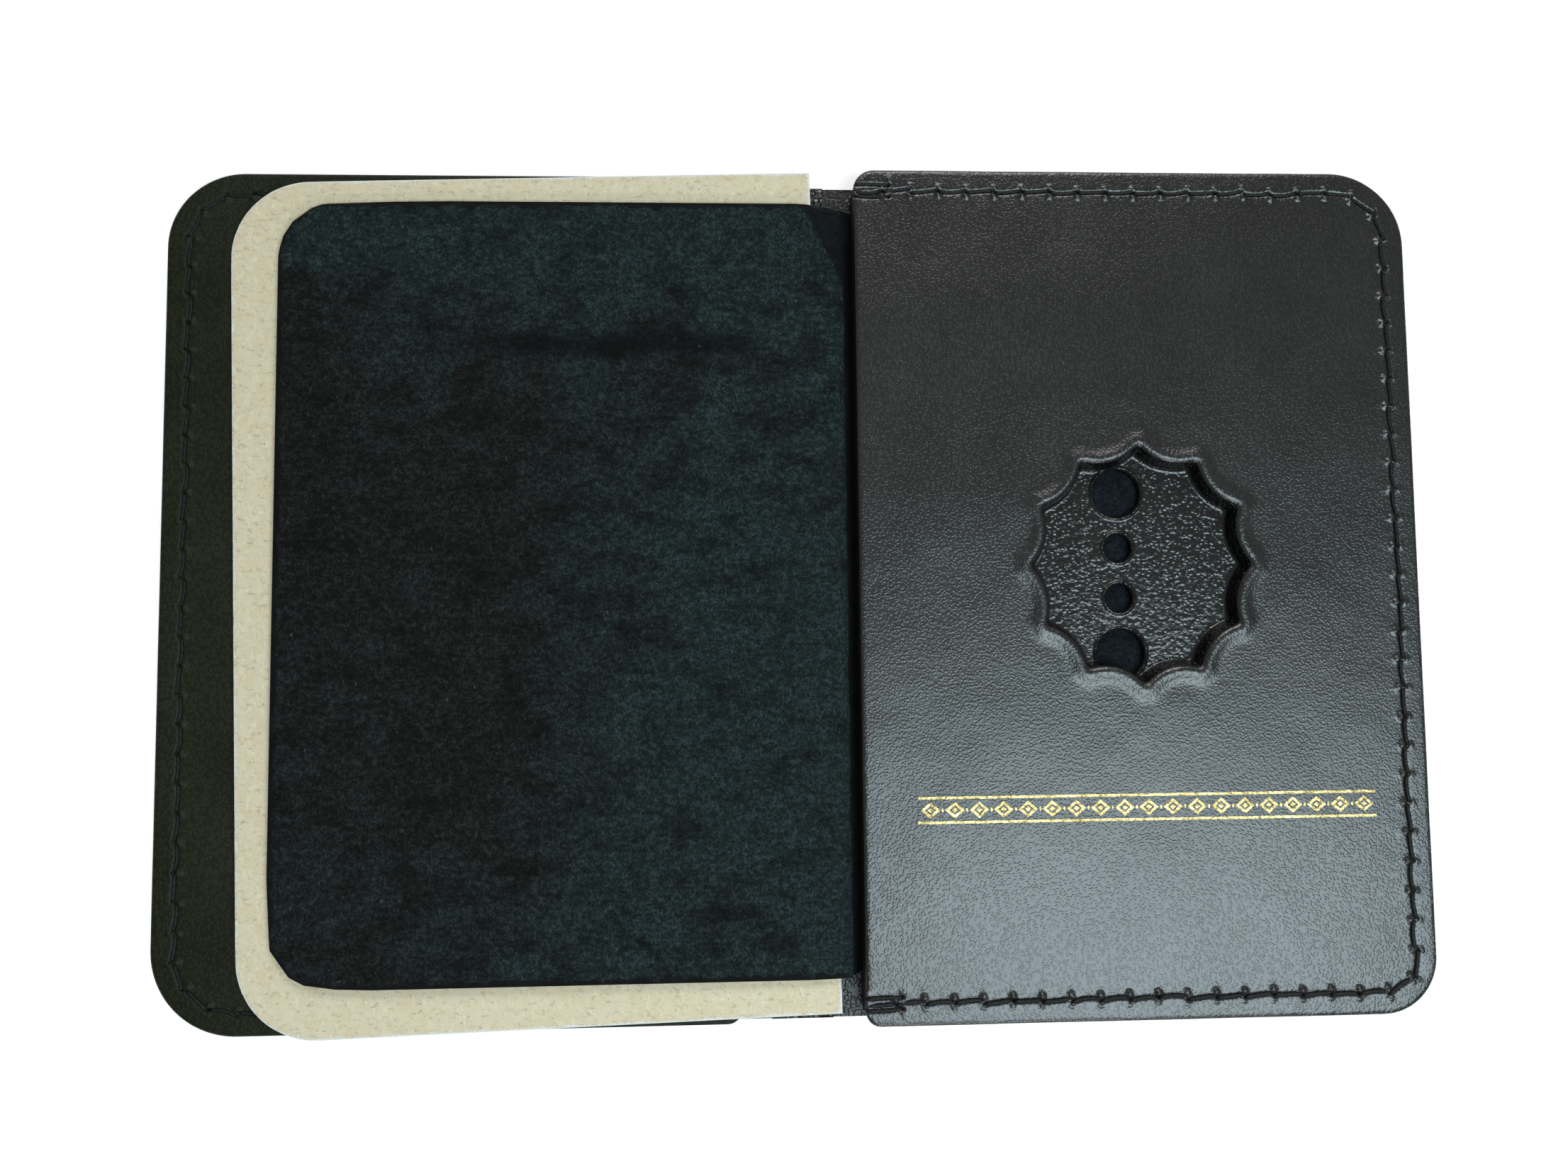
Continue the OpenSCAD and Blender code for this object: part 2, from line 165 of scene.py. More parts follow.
def arc(x, y, r, degrees):
    """Points at one distance from a middle, in several directions."""
    return [(x + r * math.cos(a), y + r * math.sin(a)) for a in np.radians(degrees)]


def leaf_ring(inset, radii, step, x0=OPEN_X, x1=OUTER_X, y0=-HALF_H, y1=HALF_H):
    """A closed row of points at one distance inside a plate's outline."""
    x0, x1, y0, y1 = x0 + inset, x1 - inset, y0 + inset, y1 - inset
    a, b, c, d = (max(v - inset, 0) for v in radii)
    points = []
    for x, y, radius, start in ((x0 + a, y0 + a, a, 180), (x1 - b, y0 + b, b, 270),
                                (x1 - c, y1 - c, c, 0), (x0 + d, y1 - d, d, 90)):
        n = max(2, round(radius * math.pi / 2 / step))
        turns = np.linspace(start, start + 90, n + 1) if radius > 0.05 else [start + 45]
        points += arc(x, y, radius, turns)
    return fill_line(points, step)


def fill_line(points, step):
    """Adds points along a closed line so that none are further apart than step."""
    out = [points[0]]
    for a, b in zip(points, points[1:] + points[:1]):
        n = max(1, math.ceil(math.dist(a, b) / step))
        out += [tuple(np.array(a) + (np.array(b) - a) * k / n) for k in range(1, n + 1)]
    return out[:-1]


def recess_point(i):
    """One of the recess's points, from its middle."""
    a = math.radians(90 + 360 * i / SCALLOPS)
    drop = POINTS_DROP + (STRETCH if math.sin(a) > 1e-9 else -STRETCH)
    off = drop * math.sin(a)
    far = off + math.sqrt(off * off + POINT_R ** 2 - drop ** 2)
    return np.array([far * math.cos(a), far * math.sin(a) - POINTS_DROP])


def scallop_circle(i):
    """The circle outside the recess that leaves one scallop: its middle and radius."""
    p, q = recess_point(i), recess_point(i + 1)
    half = np.linalg.norm(q - p) / 2
    r = (half ** 2 + SCALLOP_DEPTH ** 2) / (2 * SCALLOP_DEPTH)
    out = np.array([q[1] - p[1], p[0] - q[0]]) / (2 * half)
    return (p + q) / 2 + (r - SCALLOP_DEPTH) * out, r


CIRCLES = [scallop_circle(i) for i in range(SCALLOPS)]


def recess_growth(p, soft=0.2):
    """How far outside the recess outline each point lies, with its ridges a little softened."""
    p = np.atleast_2d(p) - RECESS
    p = p * np.where(p[:, 1:] < 0, (1, LOW_SHARE), (1, 1))
    ends = [np.linalg.norm(p - (0, side * STRETCH), axis=1) for side in (-1, 1)]
    parts = [np.minimum(*ends) - TIP_R]
    parts += [r - np.linalg.norm(p - c, axis=1) for c, r in CIRCLES]
    parts = np.array(parts)
    top = parts.max(axis=0)
    return top + soft * np.log(np.exp((parts - top) / soft).sum(axis=0))


def recess_ring(growth, step):
    """A closed row of points where the recess outline has grown by one distance."""
    n = round(2 * math.pi * (POINT_R + growth) / step)
    a = np.arange(n) * 2 * math.pi / n
    ray = np.stack([np.cos(a), np.sin(a)], 1)
    near, far = np.full(n, 6.0), np.full(n, 22.0)  # radii well inside and well outside
    for _ in range(40):
        mid = (near + far) / 2
        inside = recess_growth(RECESS + ray * mid[:, None]) < growth
        near, far = np.where(inside, mid, near), np.where(inside, far, mid)
    return [tuple(v) for v in RECESS + ray * near[:, None]]


def circle_ring(x, y, r, step):
    n = max(12, round(2 * math.pi * r / step))
    return arc(x, y, r, np.arange(n) * 360 / n)


def grid(step, seed=1, x0=OPEN_X, x1=OUTER_X, y0=-HALF_H, y1=HALF_H):
    """Rows of points over a field, shifted a little so that no pattern shows."""
    rng = np.random.default_rng(seed)
    nx, ny = max(2, round((x1 - x0) / step)), max(2, round((y1 - y0) / step))
    x, y = np.meshgrid(np.linspace(x0, x1, nx + 1), np.linspace(y0, y1, ny + 1))
    p = np.stack([x.ravel(), y.ravel()], 1)
    inner = (p[:, 0] > x0) & (p[:, 0] < x1) & (p[:, 1] > y0) & (p[:, 1] < y1)
    p[inner] += rng.uniform(-0.2, 0.2, (inner.sum(), 2)) * step
    return p


def smooth_table(points, spread):
    """A function through a few points whose corners are rounded over a spread."""
    xs = np.linspace(points[0][0] - 2 * spread, points[-1][0] + 2 * spread, 2000)
    ys = np.interp(xs, [p[0] for p in points], [p[1] for p in points])
    n = max(1, round(spread / (xs[1] - xs[0])))
    kernel = np.ones(n) / n
    for _ in range(2):
        ys = np.convolve(np.pad(ys, n, mode="edge"), kernel, mode="same")[n:-n]
    return lambda v: np.interp(v, xs, ys)


def value_noise(p, size, seed):
    """Smooth noise from -1 to 1 over the plan, with lumps of a given size."""
    rng = np.random.default_rng(seed)
    table = rng.uniform(-1, 1, (256, 256))
    q = (np.atleast_2d(p) / size + 1000).T
    i, j = np.floor(q).astype(int)
    f, g = (v * v * (3 - 2 * v) for v in (q[0] - i, q[1] - j))
    a, b, c, d = (table[(i + x) % 256, (j + y) % 256] for y in (0, 1) for x in (0, 1))
    return (a * (1 - f) + b * f) * (1 - g) + (c * (1 - f) + d * f) * g


def bell(x, spread):
    return np.exp(-(x / spread) ** 2)


# Meshes


def new_object(name, data):
    obj = bpy.data.objects.new(name, data)
    bpy.context.scene.collection.objects.link(obj)
    return obj


def make_object(name, verts, faces, materials, sharp=None, kinds=None):
    """A mesh object. kinds numbers each face's material. It is smooth but for edges over sharp degrees."""
    mesh = bpy.data.meshes.new(name)
    mesh.from_pydata([tuple(c * MM for c in v) for v in verts], [], faces)
    for material in materials:
        mesh.materials.append(material)
    if kinds is not None:
        mesh.polygons.foreach_set("material_index", kinds)
    mesh.validate()
    mesh.update()
    if sharp:
        mesh.shade_smooth()
        mesh.set_sharp_from_angle(angle=math.radians(sharp))
    return new_object(name, mesh)


def sheet_object(name, loops, points, keep, top, bottom, materials, sharp,
                 zone=lambda p: np.zeros(len(p), int)):
    """A closed sheet: its plan is triangulated, and two functions give its upper and lower face.

    The materials are the face's, the cut edge's and those of the zones, which a function numbers from 2.
    """
    coords, edges = [], []
    for loop in loops:
        start = len(coords)
        coords += [Vector(p) for p in loop]
        edges += [(start + i, start + (i + 1) % len(loop)) for i in range(len(loop))]
    coords += [Vector(p) for p in points]
    inside_loops, tolerance = 1, 1e-5
    verts, _, faces, _, _, _ = delaunay_2d_cdt(coords, edges, [], inside_loops, tolerance, False)
    plan = np.array([tuple(v) for v in verts])
    tris = np.array([f for f in faces if len(f) == 3])
    middle = plan[tris].mean(axis=1)
    a, b, c = plan[tris].transpose(1, 2, 0)
    area = (b[0] - a[0]) * (c[1] - a[1]) - (b[1] - a[1]) * (c[0] - a[0])
    tris[area < 0] = tris[area < 0][:, ::-1]
    kept = (np.abs(area) > 1e-9) & keep(middle)
    tris, middle = tris[kept], middle[kept]
    used, tris = np.unique(tris, return_inverse=True)
    tris = tris.reshape(-1, 3)
    plan = plan[used]
    count = len(plan)
    upper = np.column_stack([plan, top(plan)])
    lower = np.column_stack([plan, bottom(plan)])
    half = {(t[i], t[(i + 1) % 3]) for t in tris.tolist() for i in range(3)}
    rim = sorted((a, b) for a, b in half if (b, a) not in half)
    faces = tris.tolist() + (tris[:, ::-1] + count).tolist()
    faces += [(b, a, a + count, b + count) for a, b in rim]
    kinds = zone(middle).tolist() + [0] * len(tris)
    kinds += [2 if z > 1 else 1 for z in zone(plan[[a for a, _ in rim]])]
    return make_object(name, np.vstack([upper, lower]).tolist(), faces, materials, sharp, kinds)


def place(obj, body, slot, *nodes):
    """The piece rides on a body and stands for CAD nodes, which it hides. Its slot is not used."""
    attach(obj, body)
    if nodes:
        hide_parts(*nodes)


def clear_of(points, *tests):
    """The points that pass every test of their place."""
    points = np.atleast_2d(points)
    ok = np.ones(len(points), bool)
    for test in tests:
        ok &= test(points)
    return [tuple(p) for p in points[ok]]


def mirrored(points):
    return [(-x, y) for x, y in points]


def flat_at(z):
    """A function that gives one height to all points."""
    return lambda p: np.full(len(p), z)


def rings(distances, radii, step):
    """Rows of points at several distances inside a leaf's outline."""
    return [point for d in distances for point in leaf_ring(d, radii, step)]


# The seam


def seam_places(radii, seed):
    """Every stitch round a leaf, from its bottom to its top.

    Each has x, y, direction, length, slant, shift to the side and bow.
    """
    across, half_h = OUTER_X - INSET - OPEN_X, HALF_H - INSET
    low, high = radii[1] - INSET, radii[2] - INSET
    # Length and radius of its three straights and two corners
    parts = [(across - low, 0), (low * math.pi / 2, low), (2 * half_h - low - high, 0),
             (high * math.pi / 2, high), (across - high, 0)]
    total = sum(length for length, _ in parts)
    count = round(total / PITCH)
    step = total / count
    rng = random.Random(seed)

    def at(s):
        """Place and direction at a length s along the seam."""
        x, y, turn = OPEN_X, -half_h, 0.0
        for length, r in parts:
            part = min(s, length)
            s -= part
            bend = part / r if r else 0
            ahead, left = (r * math.sin(bend), r - r * math.cos(bend)) if r else (part, 0)
            x += ahead * math.cos(turn) - left * math.sin(turn)
            y += ahead * math.sin(turn) + left * math.cos(turn)
            turn += bend
        return x, y, turn

    return [
        (*at((i + 0.5) * step), step, math.radians(rng.uniform(1, 8)),
         rng.uniform(-0.1, 0.1), rng.uniform(-0.1, 0.3))
        for i in range(count)
    ]


def tack_places(seed):
    """Two back-tacks beside each end of a seam, in the same form as its stitches."""
    y = HALF_H - INSET
    rng = random.Random(seed)
    return [
        (OPEN_X + TACK_LENGTH / 2, side * y + row * TACK_PITCH * rng.uniform(0.75, 1), 0.0, TACK_LENGTH,
         math.radians(rng.uniform(-4, 4)), 0.0, rng.uniform(-0.1, 0.1))
        for side in (-1, 1) for row in (-1, 1)
    ]


def seam_relief(p, places, depth):
    """Height of the leather along a seam: drawn down under the thread, pushed up round the needle holes."""
    x, y, turn, length, slant, shift, bow = np.array(places).T
    cos, sin = np.cos(turn), np.sin(turn)
    half, lean = length / 2 - 0.1, np.tan(slant)
    relief = np.zeros(len(p))
    chunk = 5000
    for start in range(0, len(p), chunk):
        q = p[start:start + chunk]
        dx, dy = q[:, :1] - x, q[:, 1:2] - y
        s, u = dx * cos + dy * sin, -dx * sin + dy * cos - shift
        on = np.clip(s, -half, half)
        off = u - on * lean - bow * (1 - (on / half) ** 2)
        past = np.maximum(np.abs(s) - half, 0)
        along = np.clip(1 - past / 0.25, 0, 1)
        share, spread = DRAWN_DOWN
        furrow = (bell(off, FURROW) + share * bell(off, spread)) * along
        total = -depth * furrow.max(axis=1)
        for end in (-1, 1):
            beside = u - end * half * lean
            beyond = s - end * (half + 0.05)
            for (height, spread), far in (
                (PIT, np.hypot(s - end * half, beside)), (BUMP_INSIDE, np.hypot(beyond, beside - 0.6)),
                (BUMP_OUTSIDE, np.hypot(beyond, (beside + 0.5) * 1.2)),
            ):
                total += height * bell(far, spread).max(axis=1)
        relief[start:start + chunk] = total
    return relief


def thread_mesh(name, places, level, up, seed, side):
    """Stitches of twisted thread that sink into the leather at both ends."""
    rng = random.Random(seed)
    verts, faces = [], []
    for x, y, turn, length, slant, shift, bow in places:
        phase = rng.uniform(0, math.tau)
        half = (length - 0.15) / 2
        twist = math.tau / LAY
        first = len(verts)
        size = THREAD_D / 2 * rng.uniform(0.92, 1.05)
        for k in range(ALONG + 1):
            t = 2 * k / ALONG - 1
            s = half * math.sin(t * math.pi / 2) * 0.35 + half * t * 0.65
            end = max(0.0, (abs(t) - 0.7) / 0.3)
            fat = size * (1 - 0.4 * end ** 2)
            sink = SINK * end ** 1.7
            for j in range(AROUND):
                a = math.tau * j / AROUND
                lobe = 0.74 + 0.26 * abs(math.cos(PLIES / 2 * (a - phase) + twist * s * PLIES / 2))
                u, w = fat * lobe * math.cos(a), fat * lobe * math.sin(a)
                px, py = s, u + s * math.tan(slant) + shift + bow * (1 - (s / half) ** 2)
                gx = x + px * math.cos(turn) - py * math.sin(turn)
                gy = y + px * math.sin(turn) + py * math.cos(turn)
                verts.append((side * gx, gy, level + up * (w - sink)))
        for k in range(ALONG):
            for j in range(AROUND):
                a, b = first + k * AROUND + j, first + k * AROUND + (j + 1) % AROUND
                faces.append((a + AROUND, b + AROUND, b, a))
        low = list(range(first, first + AROUND))
        faces += [low, [v + ALONG * AROUND for v in low][::-1]]
    if side * up < 0:
        faces = [face[::-1] for face in faces]
    return make_object(name, verts, faces, [THREAD], 75)


# Materials


class Nodes:
    """Short ways to add shader nodes to a material or to the world."""

    def __init__(self, owner):
        owner.use_nodes = True
        self.tree = owner.node_tree
        self.tree.nodes.clear()

    def link(self, source, target):
        self.tree.links.new(source, target)

    def add(self, kind, sockets=(), **settings):
        """A new node with its settings. Its sockets, by name or number, are set or linked."""
        node = self.tree.nodes.new("ShaderNode" + kind)
        for key, value in settings.items():
            setattr(node, key, value)
        for key, value in dict(sockets).items():
            if isinstance(value, bpy.types.NodeSocket):
                self.link(value, node.inputs[key])
            else:
                node.inputs[key].default_value = value
        return node

    def math(self, operation, *values):
        return self.add("Math", dict(enumerate(values)), operation=operation).outputs[0]


class Shade(Nodes):
    """A material of one principled shader, and what its colour and roughness are made of."""

    def __init__(self, name, lustre=0.5, sockets=()):
        self.material = bpy.data.materials.new(name)
        super().__init__(self.material)
        self.out = self.add("OutputMaterial")
        self.shader = self.add("BsdfPrincipled", {"Specular IOR Level": lustre, **dict(sockets)})
        self.link(self.shader.outputs[0], self.out.inputs["Surface"])
        self.place = self.add("TexCoord").outputs["Object"]

    def stretched(self, stretch, shift=0):
        """The object's coordinates, stretched along its axes and shifted."""
        if not stretch and not shift:
            return self.place
        return self.add("Mapping", {
            "Scale": stretch or (1, 1, 1), "Location": (shift,) * 3, "Vector": self.place}).outputs["Vector"]

    def noise(self, size, detail=4, rough=0.6, stretch=None, shift=0):
        """Noise whose lumps are about size millimetres across."""
        return self.add("TexNoise", {
            "Scale": 1 / (size * MM), "Detail": detail, "Roughness": rough,
            "Vector": self.stretched(stretch, shift)}).outputs["Fac"]

    def cells(self, size, bend, stretch=None):
        """Distance from the middles of soft cells about size millimetres across, bent out of true."""
        source = self.stretched(stretch)
        warp = self.add("TexNoise", {"Scale": 1 / (size * 2.5 * MM), "Vector": source})
        bent = self.add("VectorMath", {
            0: warp.outputs["Color"], 1: (bend * size * MM,) * 3, 2: source}, operation="MULTIPLY_ADD")
        return self.add("TexVoronoi", {
            "Scale": 1 / (size * MM), "Smoothness": 0.15, "Vector": bent.outputs[0]},
            feature="SMOOTH_F1").outputs["Distance"]

    def ramp(self, source, stops, smooth="LINEAR"):
        """A value turned into grey levels, given as places and levels."""
        node = self.add("ValToRGB", {"Fac": source})
        node.color_ramp.interpolation = smooth
        while len(node.color_ramp.elements) < len(stops):
            node.color_ramp.elements.new(0.5)
        for element, (place, level) in zip(node.color_ramp.elements, stops):
            element.position = place
            element.color = (level, level, level, 1)
        return node.outputs["Color"]

    def mix(self, fac, a, b):
        """Colour a where fac is 0 and colour b where it is 1."""
        a, b = ((*v, 1) if isinstance(v, tuple) else v for v in (a, b))
        return self.add("Mix", {0: fac, 6: a, 7: b}, data_type="RGBA").outputs[2]

    def finish(self, colour, source, rough, height, depth):
        """Feeds the colour, a roughness between two values, and a bump whose height of 1 is depth."""
        bump = self.add("Bump", {"Distance": depth * MM, "Height": height})
        polish = self.ramp(source, [(0.3, rough[0]), (0.7, rough[1])])
        self.link(colour, self.shader.inputs["Base Color"])
        self.link(polish, self.shader.inputs["Roughness"])
        self.link(bump.outputs["Normal"], self.shader.inputs["Normal"])
        return self.material


def scaled(colour, share):
    return tuple(min(1, c * share) for c in colour)


def leather(name, dark, light, grain, depth, gloss, lustre, wear=0, crease=0.5, flat=0.34, stretch=None,
            sparse=False):
    """Pebbled leather: rounded cells with fine creases between them, painted darker as shade, and a waxy
    sheen.

    grain is a pebble's width and depth its height in millimetres, gloss the roughness from least to most,
    flat the share of a pebble that is level, and sparse leaves some pebbles low.
    """
    s = Shade(name, lustre)
    cells = s.cells(grain, 0.8, stretch)
    pebble = s.ramp(cells, [(0, 1), (flat, 0.93), (0.62, 0)], "EASE")
    if sparse:
        raised = s.ramp(s.noise(grain * 1.5, 3, 0.6, stretch=stretch, shift=0.6), [(0.42, 0.25), (0.62, 1)])
        pebble = s.math("MULTIPLY", pebble, raised)
    wrinkle = s.ramp(s.noise(grain * 2.6, 3, 0.55, stretch=(1, 1.5, 1)), [(0.32, 0), (0.68, 1)])
    fine = s.noise(grain * 0.5, 3, 0.6)
    patch = s.noise(grain * 26, 3, 0.5)
    height = s.math("MULTIPLY_ADD", fine, 0.35, s.math("MULTIPLY_ADD", wrinkle, crease, pebble))
    colour = s.mix(s.ramp(patch, [(0.35, 0), (0.7, 1)]), dark, light)
    # Painted shade: the creases between pebbles are darkened.
    colour = s.mix(s.ramp(pebble, [(0, 0.5), (0.5, 0)]), colour, scaled(dark, 0.4))
    if wear:
        specks = s.ramp(s.noise(grain * 1.3, 2, 0.4, shift=0.4), [(0.7, 0), (0.76, 1)])
        colour = s.mix(s.math("MULTIPLY", specks, wear), colour, scaled(light, 3.2))
    polish = s.math("MULTIPLY_ADD", patch, 0.5, s.math("MULTIPLY", fine, 0.5))
    return s.finish(colour, polish, gloss, height, depth)


def cut_edge(name, dark, tan, grain=0.5):
    """The raw edge of cut leather: dyed fibres with the tan core showing in places."""
    s = Shade(name, 0.2)
    fibre = s.noise(grain * 0.4, 5, 0.7, stretch=(1, 1, 2.5))
    worn = s.noise(grain * 8, 3, 0.6, shift=0.2)
    both = s.math("MULTIPLY_ADD", fibre, 0.5, s.math("MULTIPLY", worn, 0.5))
    colour = s.mix(s.ramp(both, [(0.46, 0), (0.62, 1)]), dark, tan)
    return s.finish(colour, fibre, (0.9, 0.7), fibre, 0.08)


def suede(name, dark, light, dark_nap, light_nap, crease_and_painted_shadow=False):
    """Suede: a nap of short fibres in clumps, brushed in broad patches, with lint on it."""
    s = Shade(name, 0.1)
    broad = s.noise(24.0, 3, 0.55, stretch=(1, 0.8, 1), shift=0.13)
    brushed = s.noise(5.0, 5, 0.7, stretch=(0.8, 1.3, 1))
    clump = s.noise(0.8, 5, 0.8, stretch=(1, 1.3, 1), shift=0.3)
    fibre = s.noise(0.32, 4, 0.8, stretch=(1.2, 0.9, 1), shift=0.8)
    x, y, _ = s.add("SeparateXYZ", {0: s.place}).outputs
    slope = s.math("MULTIPLY_ADD", x, 6.0, broad)
    far_end = s.ramp(s.math("MULTIPLY_ADD", y, 10, 0.5), [(0.88, 0), (0.93, 0.35)], "EASE")
    brushed_up = s.math("ADD", s.math("MULTIPLY_ADD", brushed, 0.8, slope), far_end)
    teal = s.ramp(brushed_up, [(0.6, 0), (0.92, 1)])
    colour = s.mix(teal, dark, light)
    nap = s.mix(teal, dark_nap, light_nap)
    tone = s.math("MULTIPLY_ADD", clump, 0.45, s.math("MULTIPLY", fibre, 0.55))
    colour = s.mix(s.ramp(tone, [(0.33, 0.85), (0.5, 0)]), colour, scaled(dark, 0.25))
    colour = s.mix(s.ramp(tone, [(0.49, 0), (0.68, 1)]), colour, nap)
    colour = s.mix(s.ramp(brushed, [(0.36, 0.55), (0.52, 0)]), colour, scaled(dark, 0.4))
    # A darker band over the pressed band, and painted shadow on the corner beyond the fold.
    if crease_and_painted_shadow:
        colour = s.mix(crease_mask(s, x, y, broad), colour, scaled(dark, 0.4))
        # Painted shadow on the corner that falls away beyond the fold.
        colour = s.mix(painted_corner_shadow(s, x, y), colour, scaled(dark, 0.45))
    lint = s.ramp(s.noise(0.4, 2, 0.3, stretch=(1, 0.5, 1), shift=0.9), [(0.765, 0), (0.8, 0.5)])
    colour = s.mix(lint, colour, (0.1, 0.13, 0.14))
    return s.finish(colour, clump, (0.92, 0.75), tone, 0.5)


def crease_mask(s, x, y, wander):
    """A darker band across the flap's inner half, over its pressed band.

    Coordinates in metres times 10, plus 0.5, bring the leaves into a ramp's 0 to 1.
    """
    up = s.math("MULTIPLY_ADD", wander, 0.03, s.math("MULTIPLY_ADD", y, 10, 0.5 - 0.015))
    band = s.ramp(up, [(0.785, 0), (0.806, 0.75), (0.814, 0.75), (0.835, 0)], "EASE")
    reach = s.ramp(s.math("MULTIPLY_ADD", x, 10, 0.5), [(0.06, 0), (0.16, 1), (0.43, 1), (0.468, 0)])
    return s.math("MULTIPLY", band, reach)


def painted_corner_shadow(s, x, y):
    """The corner by the spine, beyond the slanting fold, darkened as painted shadow."""
    ax, ay = FOLD_ALONG
    level = (FOLD_A[0] * ay - FOLD_A[1] * ax) * MM
    beyond = s.math("MULTIPLY_ADD", y, ax, s.math("MULTIPLY_ADD", x, -ay, level))
    return s.ramp(s.math("MULTIPLY", beyond, 200.0), [(0, 0), (0.12, 0.8)])


def board(name, base, fleck, pale):
    """Grey chipboard: pressed fibres, specks and a faint cloudiness."""
    s = Shade(name, 0.2)
    cloud = s.noise(1.6, 5, 0.7)
    fibre = s.noise(0.8, 6, 0.8, stretch=(0.75, 1.25, 1))
    cross = s.noise(0.7, 6, 0.8, stretch=(1.35, 0.7, 1), shift=0.31)
    specks = s.noise(0.55, 3, 0.5, shift=0.7)
    hairs = s.noise(1.3, 3, 0.5, stretch=(0.25, 2.4, 1), shift=1.7)
    colour = s.mix(s.ramp(cloud, [(0.36, 0), (0.62, 1)]), base, pale)
    colour = s.mix(s.ramp(fibre, [(0.37, 0.55), (0.46, 0)]), colour, fleck)
    colour = s.mix(s.ramp(cross, [(0.54, 0), (0.64, 0.7)]), colour, scaled(pale, 1.2))
    colour = s.mix(s.ramp(hairs, [(0.71, 0), (0.75, 0.5)]), colour, scaled(fleck, 0.6))
    colour = s.mix(s.ramp(specks, [(0.71, 0), (0.77, 0.6)]), colour, scaled(fleck, 0.4))
    height = s.math("ADD", s.math("ADD", cloud, fibre), cross)
    return s.finish(colour, fibre, (0.95, 0.82), height, 0.16)


def waxed_thread(name):
    """Black waxed thread with fine fibres."""
    s = Shade(name, 0.3)
    fibre = s.noise(0.09, 3, 0.6)
    patch = s.noise(1.8, 2, 0.5)
    colour = s.mix(patch, (0.003, 0.003, 0.003), (0.012, 0.012, 0.012))
    return s.finish(colour, fibre, (0.42, 0.66), fibre, 0.035)


def clear_sheet(name):
    """Clear vinyl with slow waves and a little haze."""
    s = Shade(name, 0.5, {"Transmission Weight": 1, "IOR": 1.45})
    wave = s.noise(9.0, 3, 0.5)
    colour = s.mix(wave, (0.93, 0.96, 0.97), (0.98, 0.99, 0.99))
    haze = s.ramp(s.noise(1.2, 4, 0.6), [(0.45, 0), (0.75, 1)])
    return s.finish(colour, s.math("MULTIPLY_ADD", haze, 0.4, 0.3), (0.03, 0.16), wave, 0.12)


def gold_foil(name):
    """Gold foil pressed on the grain, worn dull in places."""
    s = Shade(name, 0.5, {"Metallic": 1})
    worn = s.noise(0.28, 4, 0.7)
    broad = s.noise(3.0, 2, 0.5)
    colour = s.mix(broad, (0.72, 0.5, 0.17), (0.86, 0.66, 0.28))
    colour = s.mix(s.ramp(worn, [(0.38, 1), (0.56, 0)]), colour, (0.3, 0.2, 0.07))
    return s.finish(colour, worn, (0.55, 0.24), s.cells(0.62, 0.7), 0.06)


PANEL = leather("panel_leather", (0.014, 0.0146, 0.013), (0.0182, 0.0188, 0.017), grain=0.34, depth=0.018,
                gloss=(0.25, 0.31), lustre=0.84, wear=0.04, crease=0.3, flat=0.2)
PRESSED = leather("pressed_leather", (0.012, 0.013, 0.012), (0.018, 0.019, 0.018), grain=0.5, depth=0.062,
                  gloss=(0.13, 0.18), lustre=0.8, crease=0.2, flat=0.04, stretch=(0.9, 1.1, 1), sparse=True)
# Near-black leather of painted shade, for the recess walls, the hole sides and the panel's open edge.
PAINTED_SHADE_WALL = leather("recess_wall_painted_shade", (0.0015, 0.0015, 0.0015), (0.004, 0.004, 0.004), grain=0.6, depth=0.14,
               gloss=(0.24, 0.34), lustre=0.35)
SHELL = leather("shell_leather", (0.01, 0.01, 0.01), (0.018, 0.018, 0.018), grain=0.6, depth=0.07,
                gloss=(0.3, 0.42), lustre=0.6)
FRAME = leather("frame_leather", (0.0125, 0.0148, 0.0058), (0.02, 0.023, 0.011), grain=0.45, depth=0.03,
                gloss=(0.45, 0.6), lustre=0.22, wear=0.03)
LINING = leather("lining_leather", (0.003, 0.003, 0.0027), (0.008, 0.008, 0.0072), grain=0.8, depth=0.2,
                 gloss=(0.2, 0.36), lustre=0.8, crease=1.0)
EDGE = cut_edge("cut_edge", (0.006, 0.005, 0.005), (0.055, 0.022, 0.014))
SUEDE = suede("suede", (0.0115, 0.0125, 0.0118), (0.0155, 0.0262, 0.0268), (0.054, 0.06, 0.057),
              (0.074, 0.115, 0.117), crease_and_painted_shadow=True)
POCKET = suede("pocket_suede", (0.0095, 0.013, 0.0175), (0.011, 0.015, 0.02), (0.034, 0.045, 0.058),
               (0.036, 0.048, 0.062))
# Near-black cut edge, whose colour also paints the shadow in the gap by the flap's root.
SUEDE_EDGE_AND_SHADOW = cut_edge("suede_edge_and_painted_shadow", (0.0015, 0.0015, 0.002), (0.006, 0.008, 0.009), grain=0.35)
STIFFENER = board("stiffener_board", (0.03, 0.026, 0.022), (0.012, 0.01, 0.009), (0.06, 0.048, 0.038))
CHIPBOARD = board("chipboard", (0.88, 0.75, 0.51), (0.48, 0.39, 0.26), (0.92, 0.82, 0.6))
BOARD_EDGE = board("board_edge", (0.95, 0.94, 0.89), (0.72, 0.68, 0.58), (0.97, 0.96, 0.93))
THREAD = waxed_thread("thread")
VINYL = clear_sheet("clear_vinyl")
GOLD = gold_foil("gold_foil")

# The CAD nodes that are shown as they are
for node, material in (("pocket_lining", POCKET), ("spine_lining", LINING), ("card_liner", LINING),
                       ("id_window", VINYL)):
    mesh = frame["nodes"][node].data
    mesh.materials.clear()
    mesh.materials.append(material)


# Badge panel

BADGE_SEAM = seam_places(BADGE_R, 41) + tack_places(43)
CARD_SEAM = seam_places(CARD_R, 42) + tack_places(44)

